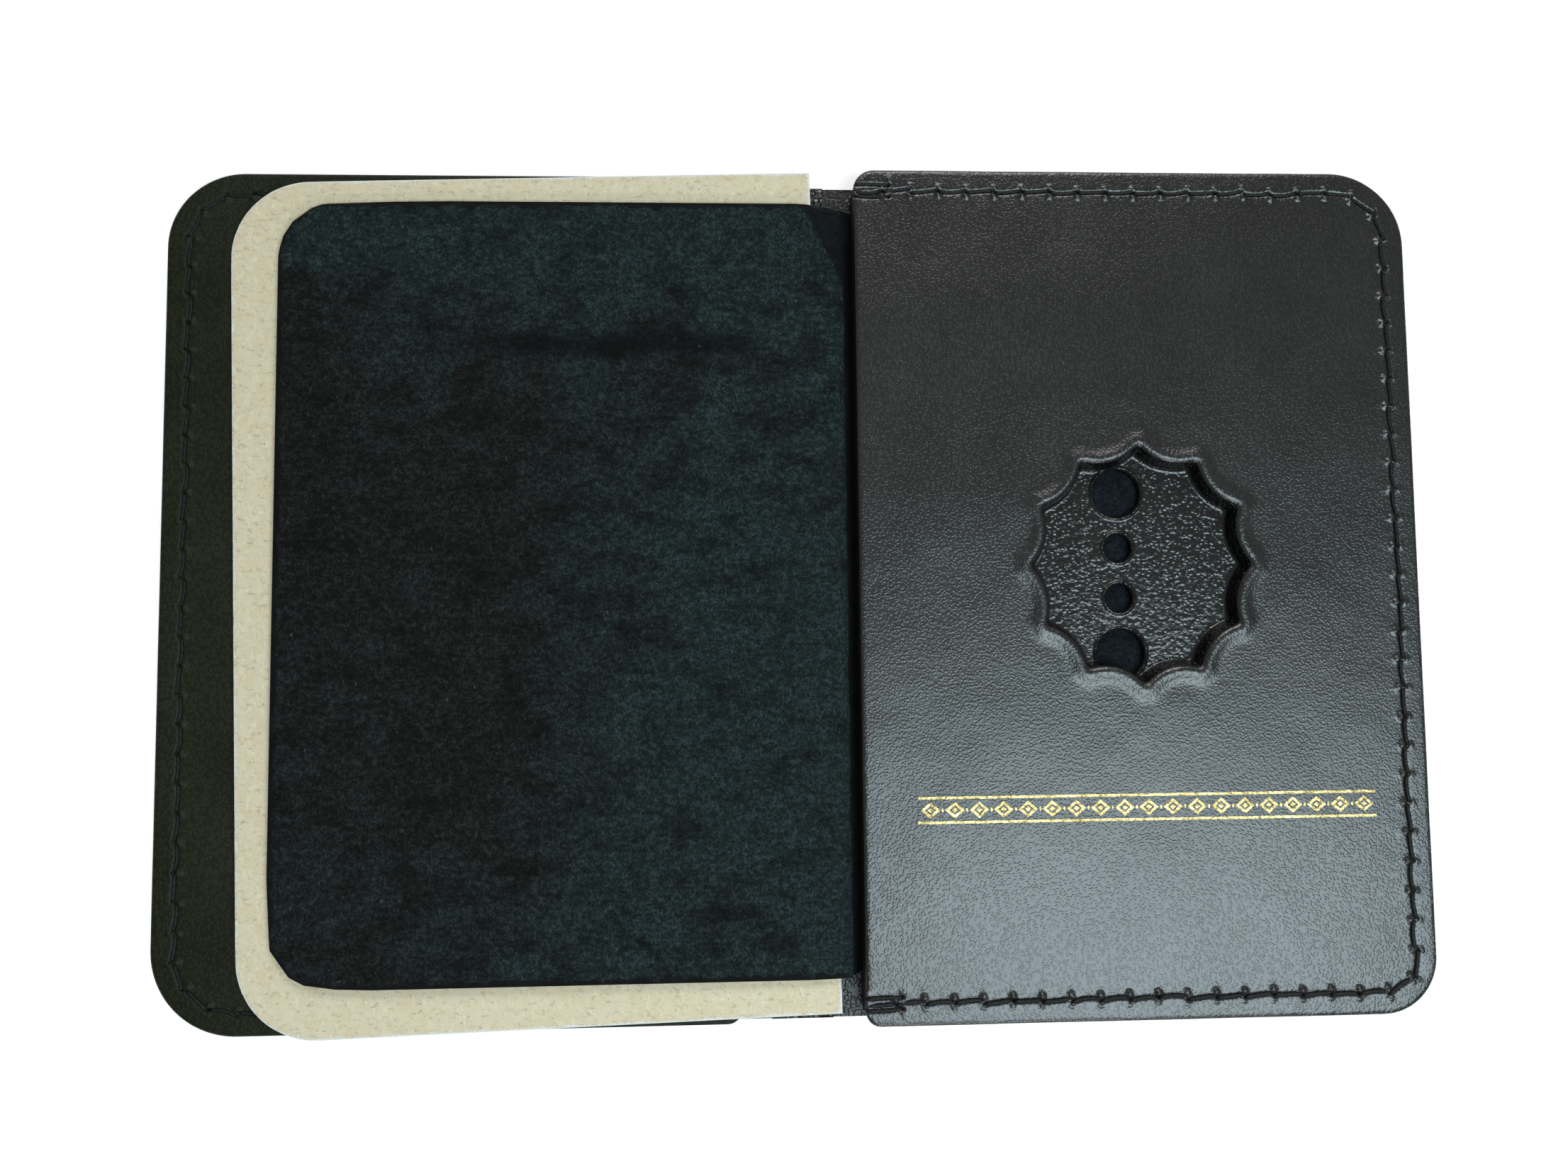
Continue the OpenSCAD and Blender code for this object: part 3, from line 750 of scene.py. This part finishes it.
# Height of the leather over its distance outside the recess outline: floor, wall, lip and plate
recess_profile = smooth_table([
    (-1.8, FLOOR), (-0.6, FLOOR), (-0.48, FLOOR + 0.3), (-0.22, BADGE_TOP - 0.5), (0.0, BADGE_TOP),
    (0.3, BADGE_TOP + 0.22), (0.7, BADGE_TOP + 0.29), (1.15, BADGE_TOP + 0.21), (1.7, BADGE_TOP + 0.08),
    (2.3, BADGE_TOP), (3.4, BADGE_TOP),
], 0.28)
# How far the leather falls away over its distance from a leaf's edge
edge_round = smooth_table([(0, 0.24), (0.12, 0.09), (0.3, 0.02), (0.5, 0)], 0.06)


def near_seam(p, radii):
    """The points that a seam's relief reaches. A leaf's open edge has none, so it is left out."""
    line = leaf_distance(p, radii, x0=OPEN_X - 40) - INSET
    return (np.abs(line) < 2) | ((p[:, 0] < OPEN_X + TACK_LENGTH + 1) & (line < 3))


def edge_and_seam(p, radii, places, depth):
    """What a leaf's rounded edge and its seam do to the height of its face."""
    z = -edge_round(leaf_distance(p, radii))
    seam = near_seam(p, radii)
    z[seam] += seam_relief(p[seam], places, depth)
    return z


def panel_top(p):
    """Height of the panel's face: recess, edge, seam, slight waves, pressed floor and hole rims."""
    growth = recess_growth(p)
    z = recess_profile(growth) + edge_and_seam(p, BADGE_R, BADGE_SEAM, 0.24)
    outside = growth > 0.9
    fade = np.clip(growth[outside] - 1, 0, 1)
    waves = 0.05 * value_noise(p[outside], 9.0, 4) + 0.02 * value_noise(p[outside], 3.0, 5)
    z[outside] += waves * fade - 0.04 * fade
    floor = growth < -0.6
    pebbles = value_noise(p[floor] * (0.85, 1.2), 0.4, 7)
    z[floor] += 0.02 * pebbles * np.clip(-(growth[floor] + 0.6) / 0.5, 0, 1)
    for x, y, r in HOLES:
        d = np.hypot(p[:, 0] - x, p[:, 1] - y) - r
        near = (d > -0.01) & (d < 1.2) & (growth < -0.3)
        z[near] += 0.26 * bell(d[near] - 0.26, 0.17) - 0.1 * bell(d[near], 0.09)
    return z


def panel_bottom(p):
    return np.where(recess_growth(p) > -0.02, BADGE_TOP - PANEL_T, FLOOR - PANEL_T)


def panel_zone(p):
    """Number of the material: the plate's, the pressed floor's, and the near-black one of painted shade on
    the walls and the open edge.
    """
    growth = recess_growth(p)
    # The walls and the open edge take the near-black leather of painted shade.
    painted_shade_places = (growth < -0.05) | (p[:, 0] < OPEN_X + 0.005)
    return np.where(growth < -0.5, 3, np.where(painted_shade_places, 2, 0))


def in_hole(p):
    inside = np.zeros(len(p), bool)
    for x, y, r in HOLES:
        inside |= np.hypot(p[:, 0] - x, p[:, 1] - y) < r
    return inside


def seam_rows(radii, side_step, along_step):
    """Rows of points beside the seam, close enough to carry the relief of its needle holes."""
    rows = []
    count = round(1.35 / side_step)
    for k in range(-count, count + 1):
        rows += clear_of(leaf_ring(INSET + k * side_step, radii, along_step),
                         lambda p: (p[:, 0] > OPEN_X + 0.6) | (np.abs(p[:, 1]) > HALF_H - INSET - 2))
    tack_x = np.arange(OPEN_X + 0.1, OPEN_X + TACK_LENGTH + 0.5, along_step)
    for side in (-1, 1):
        for row in (-1, 1):
            for k in range(-3, 4):
                y = side * (HALF_H - INSET) + row * TACK_PITCH + 0.13 * k
                rows += [(x, y) for x in tack_x]
    return rows


def badge_panel():
    """The panel, with points set close where its face turns: edge, seam, recess and hole rims."""
    points = seam_rows(BADGE_R, 0.15, 0.22) + rings((0.08, 0.2, 0.38, 0.7), BADGE_R, 0.5)
    for g in (-1.0, -0.75, -0.62, -0.52, -0.44, -0.34, -0.24, -0.14, 0.04, 0.12, 0.2, 0.28, 0.36, 0.45, 0.56,
              0.68, 0.8, 0.95, 1.1, 1.3, 1.6, 1.9, 2.2, 2.5):
        points += recess_ring(g, 0.25)
    for x, y, r in HOLES:
        for d in (0.05, 0.1, 0.17, 0.24, 0.32, 0.42, 0.55, 0.7):
            points += circle_ring(x, y, r + d, 0.2)
    points += clear_of(grid(0.8),
                       lambda p: leaf_distance(p, BADGE_R) > 0.9, lambda p: recess_growth(p) > 2.8,
                       lambda p: np.abs(leaf_distance(p, BADGE_R) - INSET) > 1.6)
    cx, cy = RECESS
    floor_grid = grid(0.17, 3, cx - 15, cx + 15, cy - 15.6, cy + 15.6)
    points += clear_of(floor_grid, lambda p: recess_growth(p) < -1.1)
    points = clear_of(points, lambda p: ~in_hole(p) | (recess_growth(p) > -0.02))
    loops = [leaf_ring(0, BADGE_R, 0.5), recess_ring(-0.02, 0.25)]
    loops += [circle_ring(x, y, r, 0.2) for x, y, r in HOLES]
    keep = lambda m: (leaf_distance(m, BADGE_R) > 0) & ~(in_hole(m) & (recess_growth(m) < -0.02))
    return sheet_object("badge_panel_leather", loops, points, keep, panel_top, panel_bottom,
                        [PANEL, EDGE, PAINTED_SHADE_WALL, PRESSED], 50, panel_zone)


def stiffener():
    """The board under the panel, cut out just outside the recess as the leather shows it."""
    low, high = node_box("badge_board")
    points = rings((0.2, 0.8), BADGE_R, 1.0)
    points += clear_of(grid(3.0, 7), lambda p: leaf_distance(p, BADGE_R) > 1.2,
                       lambda p: recess_growth(p) > 1.0)
    keep = lambda m: (leaf_distance(m, BADGE_R) > 0) & (recess_growth(m) > 0.1)
    upper = lambda p: high[2] - 0.01 + 0.01 * value_noise(p, 4.0, 61)
    loops = [leaf_ring(0, BADGE_R, 0.8), recess_ring(0.1, 0.5)]
    return sheet_object("stiffener_sheet", loops, points, keep, upper, flat_at(low[2]), [STIFFENER] * 2, 50)


place(stiffener(), "badge_cover", "stiffener_board", "badge_board")
place(badge_panel(), "badge_cover", "panel_leather", "badge_panel")


# Thread


BADGE_THREAD_Z = BADGE_TOP - 0.12
CARD_THREAD_Z = FRAME_HIGH[2] - 0.22
OUTER_THREAD_Z = 0.36
# Both seams end in four back-tacks. A seam on the outer face faces down.
for name, node, body, places, level, up, seed, side in (
    ("badge_seam", "badge_stitching", "badge_cover", BADGE_SEAM[:-4], BADGE_THREAD_Z, 1, 11, 1),
    ("badge_tacks", "badge_back_tacks", "badge_cover", BADGE_SEAM[-4:], BADGE_THREAD_Z, 1, 12, 1),
    ("badge_seam_outside", "badge_stitching_outer", "badge_cover", BADGE_SEAM, OUTER_THREAD_Z, -1, 13, 1),
    ("card_seam", "card_stitching", "card_cover", CARD_SEAM[:-4], CARD_THREAD_Z, 1, 14, -1),
    ("card_tacks", "card_back_tacks", "card_cover", CARD_SEAM[-4:], CARD_THREAD_Z, 1, 15, -1),
    ("card_seam_outside", "card_stitching_outer", "card_cover", CARD_SEAM, OUTER_THREAD_Z, -1, 16, -1),
):
    place(thread_mesh(name, places, level, up, seed, side), body, "thread", node)


# Card window: a leather frame with a thumb notch in its lower edge

WINDOW = ((OPEN_X + OUTER_X) / 2, 25.0, 40.5, 3.0)  # middle, half width, half height, corner radius
THUMB_R = 8.0


def window_ring(grow, step):
    """Outline of the window on the +X side, with the thumb notch."""
    cx, half_w, half_h, r = WINDOW
    corner_steps, notch_steps = 8, 24
    points = []
    for x, y, start in ((1, -1, 270), (1, 1, 0), (-1, 1, 90), (-1, -1, 180)):
        turns = np.linspace(start, start + 90, corner_steps + 1)
        points += arc(cx + x * (half_w - r), y * (half_h - r), r + grow, turns)
    points += arc(cx, -half_h, THUMB_R + grow, np.linspace(180, 360, notch_steps + 1))
    return fill_line(points, step)


def in_window(p):
    """Whether each point lies in the window or its notch."""
    cx, half_w, half_h, r = WINDOW
    plate = leaf_distance(p, (r,) * 4, cx - half_w, cx + half_w, -half_h, half_h) > 0
    notch = (np.hypot(p[:, 0] - cx, p[:, 1] + half_h) < THUMB_R) & (p[:, 1] < -half_h + r)
    return plate | notch


def frame_top(p):
    """Height of the frame's face on the card leaf."""
    p = p * (-1, 1)
    waves = 0.02 * value_noise(p, 7.0, 8) - 0.02
    return FRAME_HIGH[2] + edge_and_seam(p, CARD_R, CARD_SEAM, 0.3) + waves


def card_frame():
    """The frame, laid out on the +X side and mirrored."""
    points = seam_rows(CARD_R, 0.15, 0.25) + rings((0.08, 0.2, 0.38, 0.7), CARD_R, 0.5)
    for d in (0.1, 0.25, 0.5):
        points += window_ring(d, 0.6)
    points += clear_of(grid(1.0), lambda p: leaf_distance(p, CARD_R) > 0.9, lambda p: ~in_window(p),
                       lambda p: np.abs(leaf_distance(p, CARD_R) - INSET) > 1.6)
    loops = [mirrored(leaf_ring(0, CARD_R, 0.5))[::-1], mirrored(window_ring(0, 0.6))[::-1]]
    keep = lambda m: (leaf_distance(m * (-1, 1), CARD_R) > 0) & ~in_window(m * (-1, 1))
    return sheet_object("card_frame_leather", loops, mirrored(points), keep, frame_top, flat_at(FRAME_LOW[2]),
                        [FRAME, EDGE], 50)


place(card_frame(), "card_cover", "frame_leather", "window_frame")


# Outer shell: one leather, in three lengths that each reach over one crease

SPINE_Y0, SPINE_Y1 = SPINE_LOW[1], SPINE_HIGH[1]
CUT_RIGHT = 0.0
CUT_LEFT = (CREASE_LEFT + CREASE_BACK) / 2


def shell_outside(p, radii, places):
    """Height of the shell's outer face, which is its lower one."""
    z = np.zeros(len(p))
    seam = near_seam(p, radii) & (p[:, 0] > OPEN_X - 0.5)
    z[seam] -= seam_relief(p[seam], places, 0.45)
    rounded = np.where(p[:, 0] > OPEN_X + 3, leaf_distance(p, radii), 1.0)
    return np.maximum(z, 0) + edge_round(rounded)


def shell_length(name, x0, x1, radii, places, side, crease):
    """One length of the shell from x0 to x1, laid out on the +X side and mirrored for the card leaf."""
    margin_x = OPEN_X + radii[3] + 0.1
    has_leaf = x1 > OPEN_X
    far = margin_x if has_leaf else x1
    loops = [fill_line([(x0, SPINE_Y0), (far, SPINE_Y0), (far, SPINE_Y1), (x0, SPINE_Y1)], 0.8)]
    points = []
    if has_leaf:
        loops.append(leaf_ring(0, radii, 0.7))
        points += rings((0.1, 0.3, 0.6), radii, 0.7) + seam_rows(radii, 0.2, 0.3)
        points += clear_of(grid(1.5), lambda p: leaf_distance(p, radii) > INSET + 1.6)
    for k in range(-10, 11):
        x = crease + 0.16 * k
        if x0 + 0.02 < x < x1 - 0.02:
            points += [(x, y) for y in np.linspace(SPINE_Y0 + 0.4, SPINE_Y1 - 0.4, 90)]

    def keep(p):
        """The strip as long as the spine, and the leaf where this length has one."""
        strip = (p[:, 0] < margin_x) & (p[:, 1] > SPINE_Y0) & (p[:, 1] < SPINE_Y1)
        leaf = leaf_distance(p, radii) > -1e-6 if has_leaf else False
        return (p[:, 0] > x0) & (p[:, 0] < x1) & (strip | leaf)

    if side < 0:
        loops = [mirrored(loop)[::-1] for loop in loops]
        points = mirrored(points)
    flip = (side, 1)
    return sheet_object(name, loops, points, lambda p: keep(p * flip), flat_at(SHELL_T),
                        lambda p: shell_outside(p * flip, radii, places), [SHELL, EDGE], 50)


def place_blend(obj, a, b, start, end, *nodes):
    """The length is fixed where it lies and stands for CAD nodes, which it hides. a, b, start and end are not
    used.
    """
    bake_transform(obj)
    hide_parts(*nodes)


BEND = 0.95  # half the width of a crease, given to place_blend, which does not use it
shell_a = shell_length("shell_badge_side", CUT_RIGHT, OUTER_X, BADGE_R, BADGE_SEAM, 1, CREASE_RIGHT)
place_blend(shell_a, "badge_cover", "spine", CREASE_RIGHT + BEND, CREASE_RIGHT - BEND,
            "shell_right", "shell_spine")
shell_b = shell_length("shell_spine_side", -CUT_RIGHT, -CUT_LEFT, CARD_R, CARD_SEAM, -1, -CREASE_LEFT)
place_blend(shell_b, "spine", "strip", CREASE_LEFT + BEND, CREASE_LEFT - BEND, "crease_strip")
shell_c = shell_length("shell_card_side", -CUT_LEFT, OUTER_X, CARD_R, CARD_SEAM, -1, -CREASE_BACK)
place_blend(shell_c, "strip", "card_cover", CREASE_BACK + 0.6, CREASE_BACK - 0.5, "shell_left")


# Flap: one suede leather from the badge leaf's edge to its free edge

ROOT_X, ROOT_END = ROOT_HIGH[0], FLAP_HIGH[0]
ROOT_RISE = FLAP_LOW[2] - ROOT_LOW[2]
FLAP_R = (6.8, 0, 0, 6.8)
RAGGED = 0.36  # how far the cut strays from a straight line


def root_share(p):
    """0 at the root's inner end and 1 where the flap lies flat."""
    return np.clip((ROOT_X - p[:, 0]) / (ROOT_X - ROOT_END), 0, 1)


def flap_mid(p):
    return FLAP_LOW[2] + SUEDE_T / 2 - ROOT_RISE * (1 + np.cos(math.pi * root_share(p))) / 2


def flap_thick(p):
    """Upright thickness, which is more where the root slopes."""
    slope = ROOT_RISE * math.pi / 2 * np.sin(math.pi * root_share(p)) / (ROOT_X - ROOT_END)
    return SUEDE_T * np.sqrt(1 + slope ** 2)


def flap_dip(p):
    """The corner by the spine falls away beyond a slanting fold."""
    x, y = p.T
    beyond = (x - FOLD_A[0]) * -FOLD_ALONG[1] + (y - FOLD_A[1]) * FOLD_ALONG[0]
    fade = np.clip((ROOT_X - 0.4 - x) / 2.0, 0, 1) * np.clip((x - 2.3) / 1.5, 0, 1)
    return 0.25 * np.clip(beyond, 0, 6) ** 1.2 * fade


def flap_wave(p):
    """Slight unevenness of the suede, and its pressed band."""
    x, y = p.T
    band = bell(y - 31.0 - 0.02 * x, 1.1) * np.clip((6 - x) / 8, 0, 1)
    rough = 0.05 * value_noise(p, 9.0, 21) + 0.035 * value_noise(p, 2.4, 22) + 0.02 * value_noise(p, 0.8, 23)
    return rough - 0.07 - 0.1 * band


def flap_inside(p, past_root):
    """How far each point lies inside the flap's outline, which is taken to go on past its root."""
    return leaf_distance(p, FLAP_R, FLAP_LOW[0], ROOT_X + past_root, FLAP_LOW[1], FLAP_HIGH[1])


def flap_top(p):
    z = flap_mid(p) + flap_thick(p) / 2 - flap_dip(p)
    return z + flap_wave(p) - 0.25 * np.exp(-np.clip(flap_inside(p, 4), 0, 9) / 0.22)


def flap_bottom(p):
    """The underside is pared thin where the flap folds over, which makes room in the closed spine."""
    near = np.clip((6.9 - p[:, 0]) / 0.8, 0, 1) * np.clip((p[:, 0] - 3.2) / 1.2, 0, 1)
    pared = np.minimum(0.5 + 0.6 * np.clip(flap_dip(p) / 0.6, 0, 1), flap_thick(p) - 0.55)
    return flap_mid(p) - flap_thick(p) / 2 - flap_dip(p) + near * pared


def ragged_move(p):
    """How far the knife has left the straight line, inwards or outwards."""
    n = value_noise(p, 1.1, 31) * 0.9 + value_noise(p, 0.5, 32) * 0.6 + value_noise(p, 5.0, 33) * 0.3
    return np.where(p[:, 0] > ROOT_X - 1.5, 0, np.clip(n, -1, 1.6) * RAGGED)


def ragged(points):
    p = np.array(points)
    inward = np.stack([np.zeros(len(p)), -np.sign(p[:, 1])], 1)
    inward[np.abs(p[:, 1]) < FLAP_HIGH[1] - 2] = (1, 0)
    return [tuple(v) for v in p + inward * ragged_move(p)[:, None]]


def flap_border(p):
    """1 in a dark band along the cut edge, and in the gap where the flap comes out from under the panel,
    which is painted black as shadow.
    """
    width = ragged_move(p) + 0.34 + 0.1 * value_noise(p, 0.8, 35)
    cut = (flap_inside(p, 4) < width) & (p[:, 0] < ROOT_X - 2)
    # Painted shadow: the gap by the root is coloured black.
    gap = p[:, 0] > 6.15 + 0.1 * value_noise(p, 1.5, 36)
    return np.where(cut | gap, 1, 0)


def flap_piece():
    x0, x1, y0, y1 = FLAP_LOW[0], ROOT_X, FLAP_LOW[1], FLAP_HIGH[1]
    outline = ragged(leaf_ring(0, FLAP_R, 0.22, x0, x1, y0, y1))
    points = []
    for d in (0.2, 0.34, 0.48, 0.62, 0.78, 0.95, 1.2):
        points += leaf_ring(d, FLAP_R, 0.25, x0, x1 + d - 0.1, y0, y1)
    for k in range(24):
        x = ROOT_X - 0.12 - 0.15 * k
        points += [(x, y) for y in np.linspace(y0 + 0.6, y1 - 0.6, 110)]
    points += clear_of(grid(0.8, 5, x0, ROOT_X - 3.8, y0, y1), lambda p: flap_inside(p, 4) > 1.5)
    keep = lambda p: (p[:, 0] < x1 + 1) & (flap_inside(p, 0.5) > -0.6)
    return sheet_object("flap_suede", [outline], points, keep, flap_top, flap_bottom, [SUEDE, SUEDE_EDGE_AND_SHADOW], 60,
                        flap_border)


flap = flap_piece()
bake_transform(flap)
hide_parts("flap", "flap_root")


# Chipboard insert: a pressed board with a pale cut border and a few nicks

INSERT_TURN = math.radians(1.5)
INSERT_HALF = (36.5, 53.0)  # half its width and height
INSERT_R = (9.8, 0, 0, 9.8)


def insert_piece():
    """The insert lies a little askew, so it is laid out square and then turned into its place."""
    half_w, half_h = INSERT_HALF
    shape = (INSERT_R, -half_w, half_w, -half_h, half_h)
    cos, sin = math.cos(INSERT_TURN), math.sin(INSERT_TURN)
    mid = (INSERT_HIGH[0] - half_w * cos - half_h * sin, INSERT_HIGH[1] - half_w * sin - half_h * cos)

    def ring(inset, step):
        return leaf_ring(inset, shape[0], step, *shape[1:])

    def placed(points):
        return [(x * cos - y * sin + mid[0], x * sin + y * cos + mid[1]) for x, y in points]

    def inside(p):
        """How far each point in place lies inside the outline."""
        x, y = (p - mid).T
        return leaf_distance(np.stack([x * cos + y * sin, y * cos - x * sin], 1), *shape)

    def nicked(points):
        p = np.array(points)
        inward = -p / np.linalg.norm(p, axis=1)[:, None]
        cut = 0.02 * value_noise(p, 0.7, 51) + 0.1 * np.clip(value_noise(p, 1.3, 52) - 0.75, 0, 1) + 0.03
        return [tuple(v) for v in p + inward * cut[:, None]]

    points = []
    for d in (0.16, 0.26, 0.42, 0.7):
        points += ring(d, 0.6)
    points += clear_of(grid(1.6, 6, *shape[1:]), lambda p: leaf_distance(p, *shape) > 1.1)

    def top(p):
        worn = 0.12 * np.exp(-np.clip(inside(p), 0, 9) / 0.16)
        return INSERT_HIGH[2] - worn - 0.02 + 0.02 * value_noise(p, 3.0, 53)

    border = lambda p: np.where(inside(p) < 0.24 + 0.1 * value_noise(p, 1.0, 54), 1, 0)
    keep = lambda p: inside(p) > 0
    return sheet_object("chipboard_sheet", [placed(nicked(ring(0, 0.35)))], placed(points), keep, top,
                        flat_at(INSERT_LOW[2]), [CHIPBOARD, BOARD_EDGE], 50, border)


place(insert_piece(), "insert", "chipboard", "chipboard_insert")


# Gold tooled rule: small lozenges between two fine lines

RULE = (14.3, 72.0, -29.2, -25.9)
LOZENGES = 19
FOIL_LIFT, FOIL_T = 0.012, 0.02


def gold_rule():
    x0, x1, y0, y1 = RULE
    verts, faces = [], []

    def patch(points):
        """One small flat piece of foil on the leather."""
        first, n = len(verts), len(points)
        z = panel_top(np.array(points)) + FOIL_LIFT
        for level in (z, z - FOIL_T):
            verts.extend((x, y, h) for (x, y), h in zip(points, level))
        ring = list(range(first, first + n))
        faces.extend([ring, [v + n for v in ring[::-1]]])
        faces.extend((b, a, a + n, b + n) for a, b in zip(ring, ring[1:] + ring[:1]))

    def lozenge(x, y, w, h):
        return [(x - w, y), (x, y - h), (x + w, y), (x, y + h)]

    line = 0.3
    steps = 120
    cuts = [x0 + (x1 - x0) * i / steps for i in range(steps + 1)]
    for y in (y0, y1 - line):
        for a, b in zip(cuts, cuts[1:]):
            patch([(a, y), (b, y), (b, y + line), (a, y + line)])
    mid = (y0 + y1) / 2
    for i in range(LOZENGES):
        x = x0 + (x1 - x0) * (i + 0.5) / LOZENGES
        outer, inner = lozenge(x, mid, 1.2, 1.0), lozenge(x, mid, 0.72, 0.6)
        for k in range(4):
            m = (k + 1) % 4
            patch([outer[k], outer[m], inner[m], inner[k]])
        patch(lozenge(x, mid, 0.36, 0.3))
        if i:
            patch(lozenge(x0 + (x1 - x0) * i / LOZENGES, mid, 0.16, 0.3))
    return make_object("gold_rule", verts, faces, [GOLD])


place(gold_rule(), "badge_cover", "panel_leather")


# Studio


def area_light(name, place, aim, size, energy, colour=(1, 1, 1)):
    """A rectangular lamp that points at a place, or straight down where there is none."""
    data = bpy.data.lights.new(name, "AREA")
    data.shape = "RECTANGLE"
    data.size, data.size_y = size
    data.energy = energy
    data.color = colour
    obj = new_object(name, data)
    obj.location = place
    if aim:
        obj.rotation_euler = (Vector(aim) - Vector(place)).to_track_quat("-Z", "Y").to_euler()


def floor():
    """A plain pale floor, white to the camera, that keeps the object's shadow."""
    s = Shade("floor", 0.0, {"Base Color": (0.93, 0.93, 0.93, 1), "Roughness": 0.9})
    path = s.add("LightPath")
    seen = s.math("MAXIMUM", path.outputs["Is Camera Ray"], path.outputs["Is Glossy Ray"])
    seen = s.math("MAXIMUM", seen, path.outputs["Is Transmission Ray"])
    glow = s.add("Emission", {"Color": (1, 1, 1, 1), "Strength": s.math("MULTIPLY", seen, 0.5)})
    both = s.add("AddShader", {0: s.shader.outputs[0], 1: glow.outputs[0]})
    s.link(both.outputs[0], s.out.inputs["Surface"])
    r, z = 2000, -0.1
    corners = [(-r, -r, z), (r, -r, z), (r, r, z), (-r, r, z)]
    make_object("floor", corners, [(0, 1, 2, 3)], [s.material])


WORLD_LIGHT = 0.18


def world():
    """Weak even light, and white where the camera sees past the floor."""
    made = bpy.data.worlds.new("studio")
    bpy.context.scene.world = made
    s = Nodes(made)
    seen = s.add("LightPath").outputs["Is Camera Ray"]
    strength = s.math("MULTIPLY_ADD", seen, 1 - WORLD_LIGHT, WORLD_LIGHT)
    back = s.add("Background", {"Color": (1, 1, 1, 1), "Strength": strength})
    s.add("OutputWorld", {"Surface": back.outputs[0]})


# Camera fitted to the photo's outline: focal length and picture width in pixels, turns in degrees, and place
FOCAL, PHOTO_WIDTH = 1661, 2212
CAMERA_TURNS = (-3.97756, 2.59087, 0.64898)
CAMERA_PLACE = (-0.00863, -0.00999, 0.15103)


def camera():
    data = bpy.data.cameras.new("camera")
    data.sensor_width = 36
    data.lens = data.sensor_width * FOCAL / PHOTO_WIDTH
    data.clip_start = 0.01
    obj = new_object("camera", data)
    turn = Matrix.Identity(3)
    for angle, axis in zip(CAMERA_TURNS, "XYZ"):
        turn = turn @ Matrix.Rotation(math.radians(angle), 3, axis)
    obj.matrix_world = Matrix.Translation(CAMERA_PLACE) @ turn.transposed().to_4x4()
    bpy.context.scene.camera = obj


floor()
world()
camera()
area_light("key", (0.2, -0.172, 0.44), None, (0.38, 0.236), 1.8, (0.76, 0.93, 1.0))
area_light("back", (0.1, 0.7, 0.55), (0, 0, 0), (0.5, 0.3), 2.8, (1.0, 1.0, 0.96))
area_light("front", (0.1, -0.5, 0.32), (0.03, 0, 0), (0.25, 0.06), 0.6)

bpy.context.scene.view_settings.view_transform = "Standard"
